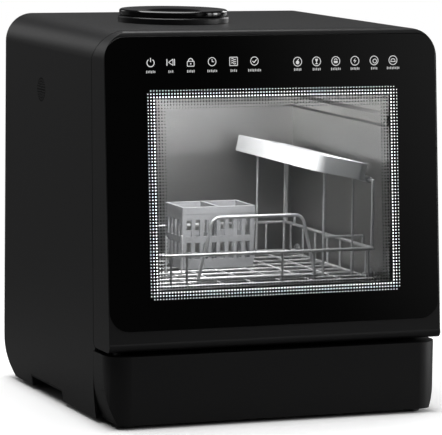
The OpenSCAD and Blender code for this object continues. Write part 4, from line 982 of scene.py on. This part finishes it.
@dataclass(frozen=True)
class TouchMarks:
    """The two rows of touch symbols over the window, each with a row of plain ticks under it.

    All its sizes are in millimetres.
    """

    plane: DoorPlane
    proud: float = 0.02
    stroke: float = 0.9
    tick_pitch: float = 2.1
    tick_width: float = 1.15
    left_x: tuple[float, ...] = (-153.2, -128.5, -103.8, -77.2, -50.4, -24.2)
    left_z: float = 422.0
    right_x: tuple[float, ...] = (30.3, 54.5, 79.1, 103.7, 128.5, 153.1)
    right_z: float = 420.5
    label_z: float = 411.3
    label_widths: tuple[float, ...] = (12, 7, 10, 13, 9, 17, 10, 11, 13, 12, 9, 17)

    def build(self) -> Iterator[bpy.types.Object]:
        """Builds the symbols, then the ticks.

        Returns:
            Each piece, once it is built.
        """
        symbols = PrintedShapes()
        drawings = (self.power, self.pause, self.padlock, self.timer, self.tray, self.done,
                    self.leaf, self.glass, self.pot, self.quick, self.rings, self.dome)
        places = [(x, self.left_z) for x in self.left_x] + [(x, self.right_z) for x in self.right_x]
        for draw, (x, z) in zip(drawings, places):
            draw(symbols, x, self.plane.up(z) / MM)
        # The symbols, and the ticks after them, glow with painted light from their enamel.
        yield symbols.build("touch_symbols", PRINT_ENAMEL, self.plane.place(self.proud))
        dashes = PrintedShapes()
        for (x, _), width in zip(places, self.label_widths):
            self.label(dashes, x, self.plane.up(self.label_z) / MM, width)
        yield dashes.build("touch_dashes", LABEL_ENAMEL, self.plane.place(self.proud))

    def label(self, to: PrintedShapes, x: float, y: float, width: float) -> None:
        """Adds a row of short upright ticks in place of a word.

        Args:
            to: The shapes that get it.
            x: Its middle, across the door.
            y: Its middle, up the slope.
            width: How wide the row is.
        """
        count = max(3, round(width / self.tick_pitch))
        for k in range(count):
            tick = x - width / 2 + width * (k + 0.5) / count
            foot = y - (1.2 if k % 3 else 1.5)
            head = y + (1.2 if k % 2 else 1.6)
            to.bar((tick, foot), (tick, head), self.tick_width)

    def frame(self, to: PrintedShapes, low: Point, high: Point) -> None:
        """Adds a square frame.

        Args:
            to: The shapes that get it.
            low: Its low left corner.
            high: Its high right corner.
        """
        corners = [low, (high[0], low[1]), high, (low[0], high[1])]
        for a, b in zip(corners, corners[1:] + corners[:1]):
            to.bar(a, b, self.stroke)

    def power(self, to: PrintedShapes, x: float, y: float) -> None:
        """Draws a ring open at the top with an upright bar."""
        to.arc((x, y - 0.3), 4.4, self.stroke + 0.2, 125, 415)
        to.bar((x, y + 0.6), (x, y + 5.4), self.stroke + 0.2)

    def pause(self, to: PrintedShapes, x: float, y: float) -> None:
        """Draws two bars and a triangle that points to them.

        Args:
            to: The shapes that get it.
            x: Its middle, across the door.
            y: Its middle, up the slope.
        """
        to.bar((x - 4.6, y - 3.8), (x - 4.6, y + 3.8), 1.2)
        tip, low, high = (x - 2.6, y), (x + 2.8, y - 3.6), (x + 2.8, y + 3.6)
        for a, b in ((tip, low), (low, high), (high, tip)):
            to.bar(a, b, self.stroke)
        to.bar((x + 4.6, y - 3.8), (x + 4.6, y + 3.8), 1.2)

    def padlock(self, to: PrintedShapes, x: float, y: float) -> None:
        """Draws a body with a shackle.

        Args:
            to: The shapes that get it.
            x: Its middle, across the door.
            y: Its middle, up the slope.
        """
        self.frame(to, (x - 4.2, y - 4.8), (x + 4.2, y + 0.8))
        to.disc((x, y - 2.0), 0.9, 12)
        to.arc((x, y + 1.4), 2.7, self.stroke + 0.2, 0, 180, 14)
        for side in (-2.7, 2.7):
            to.bar((x + side, y + 0.6), (x + side, y + 1.5), self.stroke + 0.2)

    def timer(self, to: PrintedShapes, x: float, y: float) -> None:
        """Draws a clock face with two hands.

        Args:
            to: The shapes that get it.
            x: Its middle, across the door.
            y: Its middle, up the slope.
        """
        to.arc((x, y), 4.8, self.stroke)
        to.bar((x, y), (x, y + 3.1), self.stroke)
        to.bar((x - 0.2, y), (x + 2.4, y), self.stroke)

    def tray(self, to: PrintedShapes, x: float, y: float) -> None:
        """Draws a frame with waves in it.

        Args:
            to: The shapes that get it.
            x: Its middle, across the door.
            y: Its middle, up the slope.
        """
        self.frame(to, (x - 4.8, y - 4.8), (x + 4.8, y + 4.8))
        for rise in (-2.0, 0.4, 2.8):
            to.arc((x - 1.4, y + rise - 1), 1.6, self.stroke, 30, 150, 8)
            to.arc((x + 1.4, y + rise + 0.6), 1.6, self.stroke, 210, 330, 8)

    def done(self, to: PrintedShapes, x: float, y: float) -> None:
        """Draws a ring with a tick.

        Args:
            to: The shapes that get it.
            x: Its middle, across the door.
            y: Its middle, up the slope.
        """
        to.arc((x, y), 4.8, self.stroke)
        to.bar((x - 2.4, y + 0.2), (x - 0.5, y - 1.9), 1.1)
        to.bar((x - 0.7, y - 1.9), (x + 2.7, y + 1.9), 1.1)

    def ring(self, to: PrintedShapes, x: float, y: float) -> None:
        """Draws the ring round each programme symbol."""
        to.arc((x, y), 5.2, self.stroke)

    def leaf(self, to: PrintedShapes, x: float, y: float) -> None:
        """Draws a ring with a round fruit and its leaf.

        Args:
            to: The shapes that get it.
            x: Its middle, across the door.
            y: Its middle, up the slope.
        """
        self.ring(to, x, y)
        to.disc((x, y - 0.9), 2.2)
        to.bar((x, y + 1.2), (x + 1.5, y + 3.2), self.stroke)

    def glass(self, to: PrintedShapes, x: float, y: float) -> None:
        """Draws a ring with a stemmed glass.

        Args:
            to: The shapes that get it.
            x: Its middle, across the door.
            y: Its middle, up the slope.
        """
        self.ring(to, x, y)
        to.prism([(x - 1.9, y + 3.0), (x - 1.0, y), (x + 1.0, y), (x + 1.9, y + 3.0)])
        to.bar((x, y + 0.2), (x, y - 2.6), self.stroke)
        to.bar((x - 1.7, y - 2.8), (x + 1.7, y - 2.8), self.stroke)

    def pot(self, to: PrintedShapes, x: float, y: float) -> None:
        """Draws a ring with a pan and its lid.

        Args:
            to: The shapes that get it.
            x: Its middle, across the door.
            y: Its middle, up the slope.
        """
        self.ring(to, x, y)
        to.prism([(x - 2.6, y + 0.2), (x - 2.1, y - 2.4), (x + 2.1, y - 2.4), (x + 2.6, y + 0.2)])
        to.arc((x, y + 0.6), 2.0, self.stroke, 10, 170, 10)

    def quick(self, to: PrintedShapes, x: float, y: float) -> None:
        """Draws a ring with a bolt.

        Args:
            to: The shapes that get it.
            x: Its middle, across the door.
            y: Its middle, up the slope.
        """
        self.ring(to, x, y)
        to.prism([(x + 0.9, y + 3.2), (x - 2.1, y - 0.4), (x - 0.3, y - 0.4)])
        to.prism([(x - 0.9, y - 3.2), (x + 2.1, y + 0.4), (x + 0.3, y + 0.4)])

    def rings(self, to: PrintedShapes, x: float, y: float) -> None:
        """Draws two rings, one over the other."""
        self.ring(to, x, y)
        to.arc((x + 0.9, y - 0.7), 2.3, self.stroke)

    def dome(self, to: PrintedShapes, x: float, y: float) -> None:
        """Draws a ring with a covered dish.

        Args:
            to: The shapes that get it.
            x: Its middle, across the door.
            y: Its middle, up the slope.
        """
        self.ring(to, x, y)
        to.arc((x, y - 0.9), 2.7, self.stroke, 0, 180, 12)
        to.bar((x - 3.3, y - 1.6), (x + 3.3, y - 1.6), self.stroke)


@dataclass(frozen=True)
class Door:
    """The door: its softened shell and glass, the window's dot screen and the touch marks.

    An edge of the shell counts as an outer one within rim_mm of its box, or in front of a plane
    that crosses the foot of the door at front_y and leans back by front_slope.
    """

    plane: DoorPlane = DoorPlane()
    dots_proud_mm: float = 0.03
    rim_mm: float = 2.5
    front_y: float = -0.188
    front_slope: float = 0.085
    window_low_mm: float = 150.0
    window_high_mm: float = 389.5
    columns: int = 86
    rows: int = 66

    def build(self) -> Iterator[bpy.types.Object]:
        """Builds the door's pieces in order.

        Returns:
            Each piece, once it is built.
        """
        yield SoftenedSolid("door_frame", "door", 0.9, keep=self.outside).build()
        yield SoftenedSolid("door_glass", "door", 0.45, segments=2).build()
        middle = (self.plane.up(self.window_low_mm) + self.plane.up(self.window_high_mm)) / 2
        place = self.plane.place(self.dots_proud_mm) @ Matrix.Translation((0, middle, 0))
        screens = (
            # The pale dots glow with painted light, the brightest of the print.
            DotRows(
                "window_dots_pale", DOT_ENAMEL, self.columns, self.rows,
                first=0, last=2, first_radius_mm=0.55, last_radius_mm=0.95,
            ),
            DotRows(
                "window_dots_black", BLACK_ENAMEL, self.columns - 1, self.rows - 1,
                first=2, last=5, first_radius_mm=1.5, last_radius_mm=0.7,
            ),
        )
        for screen in screens:
            yield screen.build(place)
        yield from TouchMarks(self.plane).build()

    def outside(self, place: Vector) -> bool:
        """Finds the shell's outer edges, where a hand meets them.

        Args:
            place: The middle of an edge.

        Returns:
            Whether it is one of them.
        """
        low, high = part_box("door_frame")
        near_side = min(place.x - low.x, high.x - place.x) < self.rim_mm * MM
        near_end = min(place.z - low.z, high.z - place.z) < self.rim_mm * MM
        front = self.front_y + (place.z - self.plane.z) * self.front_slope
        return near_side or near_end or place.y < front


@dataclass(frozen=True)
class Housing:
    """The housing's covers, with the edges a hand meets rounded off.

    The side vent is given by the y and z of its middle, and its radius takes in all its holes.
    """

    vent: tuple[float, float] = (0.057, 0.374)
    vent_radius: float = 0.017

    def build(self) -> Iterator[bpy.types.Object]:
        """Builds the housing's softened covers.

        Returns:
            Each piece, once it is built.
        """
        yield SoftenedSolid("outer_shell", "housing", 0.8, keep=self.off_the_vent).build()
        yield SoftenedSolid("base_front_cover", "housing", 0.8).build()
        yield SoftenedSolid("rear_cover", "housing", 0.5, keep=self.off_the_vent).build()
        yield SoftenedSolid("rubber_feet", "housing", 0.5).build()

    def off_the_vent(self, place: Vector) -> bool:
        """Says whether an edge is clear of the small holes of the side vent."""
        return math.hypot(place.y - self.vent[0], place.z - self.vent[1]) > self.vent_radius


@dataclass(frozen=True)
class BasketRim:
    """The moulded rim that runs round the cutlery basket's top and over its middle wall."""

    high_mm: float = 9.0
    wall_mm: float = 2.7
    proud_mm: float = 0.35
    round_mm: float = 0.5

    def build(self) -> bpy.types.Object:
        """Builds the rim as one closed plate with an opening over each compartment.

        Returns:
            The rim, riding on the basket.
        """
        low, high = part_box("cutlery_basket")
        out, wall = self.proud_mm * MM, self.wall_mm * MM
        middle = (low.x + high.x) / 2
        xs = (low.x - out, low.x - out + wall, middle - wall / 2, middle + wall / 2,
              high.x + out - wall, high.x + out)
        ys = (low.y - out, low.y - out + wall, high.y + out - wall, high.y + out)
        zs = (high.z - self.high_mm * MM, high.z + out)
        shape = bmesh.new()
        points = [[[shape.verts.new((x, y, z)) for z in zs] for y in ys] for x in xs]
        compartments = {(1, 1), (3, 1)}
        cells = {
            (i, j) for i in range(len(xs) - 1) for j in range(len(ys) - 1)
        } - compartments
        for i, j in sorted(cells):
            ring = ((i, j), (i + 1, j), (i + 1, j + 1), (i, j + 1))
            for k in (0, 1):
                shape.faces.new([points[a][b][k] for a, b in ring])
            beside = ((i, j - 1), (i + 1, j), (i, j + 1), (i - 1, j))
            for near, a, b in zip(beside, ring, ring[1:] + ring[:1]):
                if near not in cells:
                    shape.faces.new([points[a[0]][a[1]][0], points[b[0]][b[1]][0],
                                     points[b[0]][b[1]][1], points[a[0]][a[1]][1]])
        bmesh.ops.recalc_face_normals(shape, faces=shape.faces)
        mesh = mesh_from(shape, "cutlery_basket_rim")
        made = new_object("cutlery_basket_rim", mesh, FINISH_OF_SLOT[slot_of("cutlery_basket")])
        round_edges(made, "ANGLE", self.round_mm, 2)
        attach(made, "cutlery_basket")
        return made


@dataclass(frozen=True)
class Inside:
    """What shows through the window: the sloping shelf and the basket, with moulded edges."""

    def build(self) -> Iterator[bpy.types.Object]:
        """Builds the softened plastic pieces.

        Returns:
            Each piece, once it is built.
        """
        yield SoftenedSolid("cup_shelf", "cup_shelf", 0.5, segments=2).build()
        yield SoftenedSolid("cutlery_basket", "cutlery_basket", 0.4, segments=2).build()
        yield BasketRim().build()


@dataclass(frozen=True)
class SoftBox:
    """A square studio lamp that points at the object and isn't seen itself."""

    name: str
    place: tuple[float, float, float]
    aim: tuple[float, float, float]
    size: tuple[float, float]
    watts: float

    def build(self) -> None:
        """Adds the lamp to the scene."""
        data = bpy.data.lights.new(self.name, "AREA")
        data.shape = "RECTANGLE"
        data.size, data.size_y = self.size
        data.energy = self.watts
        lamp = bpy.data.objects.new(self.name, data)
        lamp.location = self.place
        way = Vector(self.aim) - Vector(self.place)
        lamp.rotation_euler = way.to_track_quat("-Z", "Y").to_euler()
        lamp.visible_camera = False
        bpy.context.scene.collection.objects.link(lamp)


@dataclass(frozen=True)
class Glow:
    """A soft bright patch of the surround, full to inner_deg and gone at outer_deg."""

    way: tuple[float, float, float]
    inner_deg: float
    outer_deg: float
    strength: float

    def draw(self, tree: bpy.types.NodeTree, ray: bpy.types.NodeSocket) -> bpy.types.NodeSocket:
        """Draws the patch.

        Args:
            tree: The world's tree.
            ray: The direction that is looked in.

        Returns:
            The patch's brightness in that direction.
        """
        near = add_node(
            tree,
            "ShaderNodeVectorMath",
            {"operation": "DOT_PRODUCT"},
            {0: ray, 1: tuple(Vector(self.way).normalized())},
        ).outputs["Value"]
        low, high = (math.cos(math.radians(turn)) for turn in (self.outer_deg, self.inner_deg))
        return add_node(
            tree,
            RAMP,
            {"interpolation_type": "SMOOTHSTEP"},
            {
                "Value": near,
                "From Min": low,
                "From Max": high,
                "To Min": 0.0,
                "To Max": self.strength,
            },
        ).outputs[0]


@dataclass(frozen=True)
class Studio:
    """The camera, the pale floor and the soft light."""

    yaw: float = math.radians(-21.81)
    pitch: float = math.radians(6.99)
    roll: float = math.radians(0.783)
    camera_place: tuple[float, float, float] = (-1.4323, -3.5880, 0.6916)
    lens_mm: float = 259.25
    floor_half: float = 1.1
    floor_full: float = 0.36
    lamps: tuple[SoftBox, ...] = (
        SoftBox("top_box", (-0.3, 0.4, 2.6), (0, 0.1, 0.2), (2.4, 2.2), 80),
        SoftBox("front_box", (0.6, -3.6, 2.6), (0, 0, 0.2), (2.4, 1.2), 9),
        SoftBox("edge_strip", (1.1, -0.25, 0.3), (0.2, -0.2, 0.15), (0.25, 0.5), 3),
        SoftBox("rear_box", (3.0, 2.2, 1.2), (0, 0, 0.2), (1.6, 1.6), 30),
        SoftBox("right_strip", (2.4, -1.3, 0.9), (0.2, -0.2, 0.2), (0.5, 1.6), 8),
        SoftBox("tub_fill", (0.02, -0.03, 0.405), (0.0, 0.02, 0.1), (0.22, 0.16), 0.9),
        SoftBox("tub_front", (-0.05, -0.140, 0.386), (-0.04, 0.12, 0.30), (0.20, 0.02), 1.3),
    )
    ambient: float = 0.03
    glows: tuple[Glow, ...] = (
        Glow((0.588, -0.809, 0.14), 6, 15, 0.40),
        Glow((-0.28, 0.92, 0.25), 4, 13, 0.9),
        Glow((0.42, 0.90, 0.13), 4, 16, 0.06),
        Glow((-0.45, 0.88, 0.05), 10, 30, 0.08),
        Glow((0.95, -0.10, -0.10), 8, 20, 1.0),
    )

    def build(self) -> None:
        """Builds the camera first, then the floor, the sky and the lamps."""
        self.camera()
        self.floor()
        self.sky()
        for lamp in self.lamps:
            lamp.build()
        bpy.context.scene.view_settings.view_transform = "Standard"

    def camera(self) -> None:
        """Puts the camera where the photograph was taken from."""
        a, e, r = self.yaw, self.pitch, self.roll
        back = Vector((math.sin(a) * math.cos(e), -math.cos(a) * math.cos(e), math.sin(e)))
        flat = Vector((math.cos(a), math.sin(a), 0))
        rise = back.cross(flat)
        right = flat * math.cos(r) + rise * math.sin(r)
        up = rise * math.cos(r) - flat * math.sin(r)
        data = bpy.data.cameras.new("photo_camera")
        data.sensor_width = 36.0
        data.lens = self.lens_mm
        data.clip_end = 60.0
        made = bpy.data.objects.new("photo_camera", data)
        turn = Matrix((right, up, back)).transposed().to_4x4()
        made.matrix_world = Matrix.Translation(self.camera_place) @ turn
        bpy.context.scene.collection.objects.link(made)
        bpy.context.scene.camera = made

    def floor(self) -> None:
        """Lays the pale floor, which isn't part of the object, carries a painted shadow under it
        and fades out far from it.
        """
        shape = bmesh.new()
        bmesh.ops.create_circle(shape, cap_ends=True, segments=96, radius=self.floor_half)
        mesh = mesh_from(shape, "floor")
        paper = Backdrop(
            "matte_white_paper", "#f4f4f4", 0.9, grain_mm=4, depth_mm=0.01, shade=0.02,
            strength=0.36, full=self.floor_full, gone=self.floor_half,
        )
        new_object("floor", mesh, paper)

    def sky(self) -> None:
        """Sets a surround that looks white, with a dim even light and the soft glows."""
        world = bpy.data.worlds.new("surround")
        bpy.context.scene.world = world
        world.use_nodes = True
        tree = world.node_tree
        tree.nodes.clear()
        way = add_node(tree, "ShaderNodeTexCoord").outputs["Generated"]
        soft: Any = self.ambient
        for glow in self.glows:
            soft = add_node(tree, MATHS, {"operation": "ADD"}, {0: soft, 1: glow.draw(tree, way)})
        seen = add_node(tree, "ShaderNodeLightPath").outputs["Is Camera Ray"]
        shown = add_node(tree, MATHS, {"operation": "MAXIMUM"}, {0: soft, 1: seen})
        light = add_node(
            tree, "ShaderNodeBackground", inputs={"Color": (1, 1, 1, 1), "Strength": shown}
        )
        add_node(tree, "ShaderNodeOutputWorld", inputs={"Surface": light})


def dress_solids() -> None:
    """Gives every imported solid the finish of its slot."""
    for name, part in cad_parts.items():
        finish = FINISH_OF_SLOT[slot_of(name)]
        for place in range(len(part.data.materials)):
            part.data.materials[place] = finish.material()


def main() -> None:
    """Builds the studio and every sub-assembly in order."""
    logging.basicConfig(level=logging.INFO, format="%(message)s")
    Studio().build()
    dress_solids()
    for assembly in (Housing(), Filler(), Door(), Inside()):
        for piece in assembly.build():
            faces = len(piece.data.polygons)
            LOG.info("%s: %s, %d faces", type(assembly).__name__, piece.name, faces)


if __name__ == "__main__":
    main()
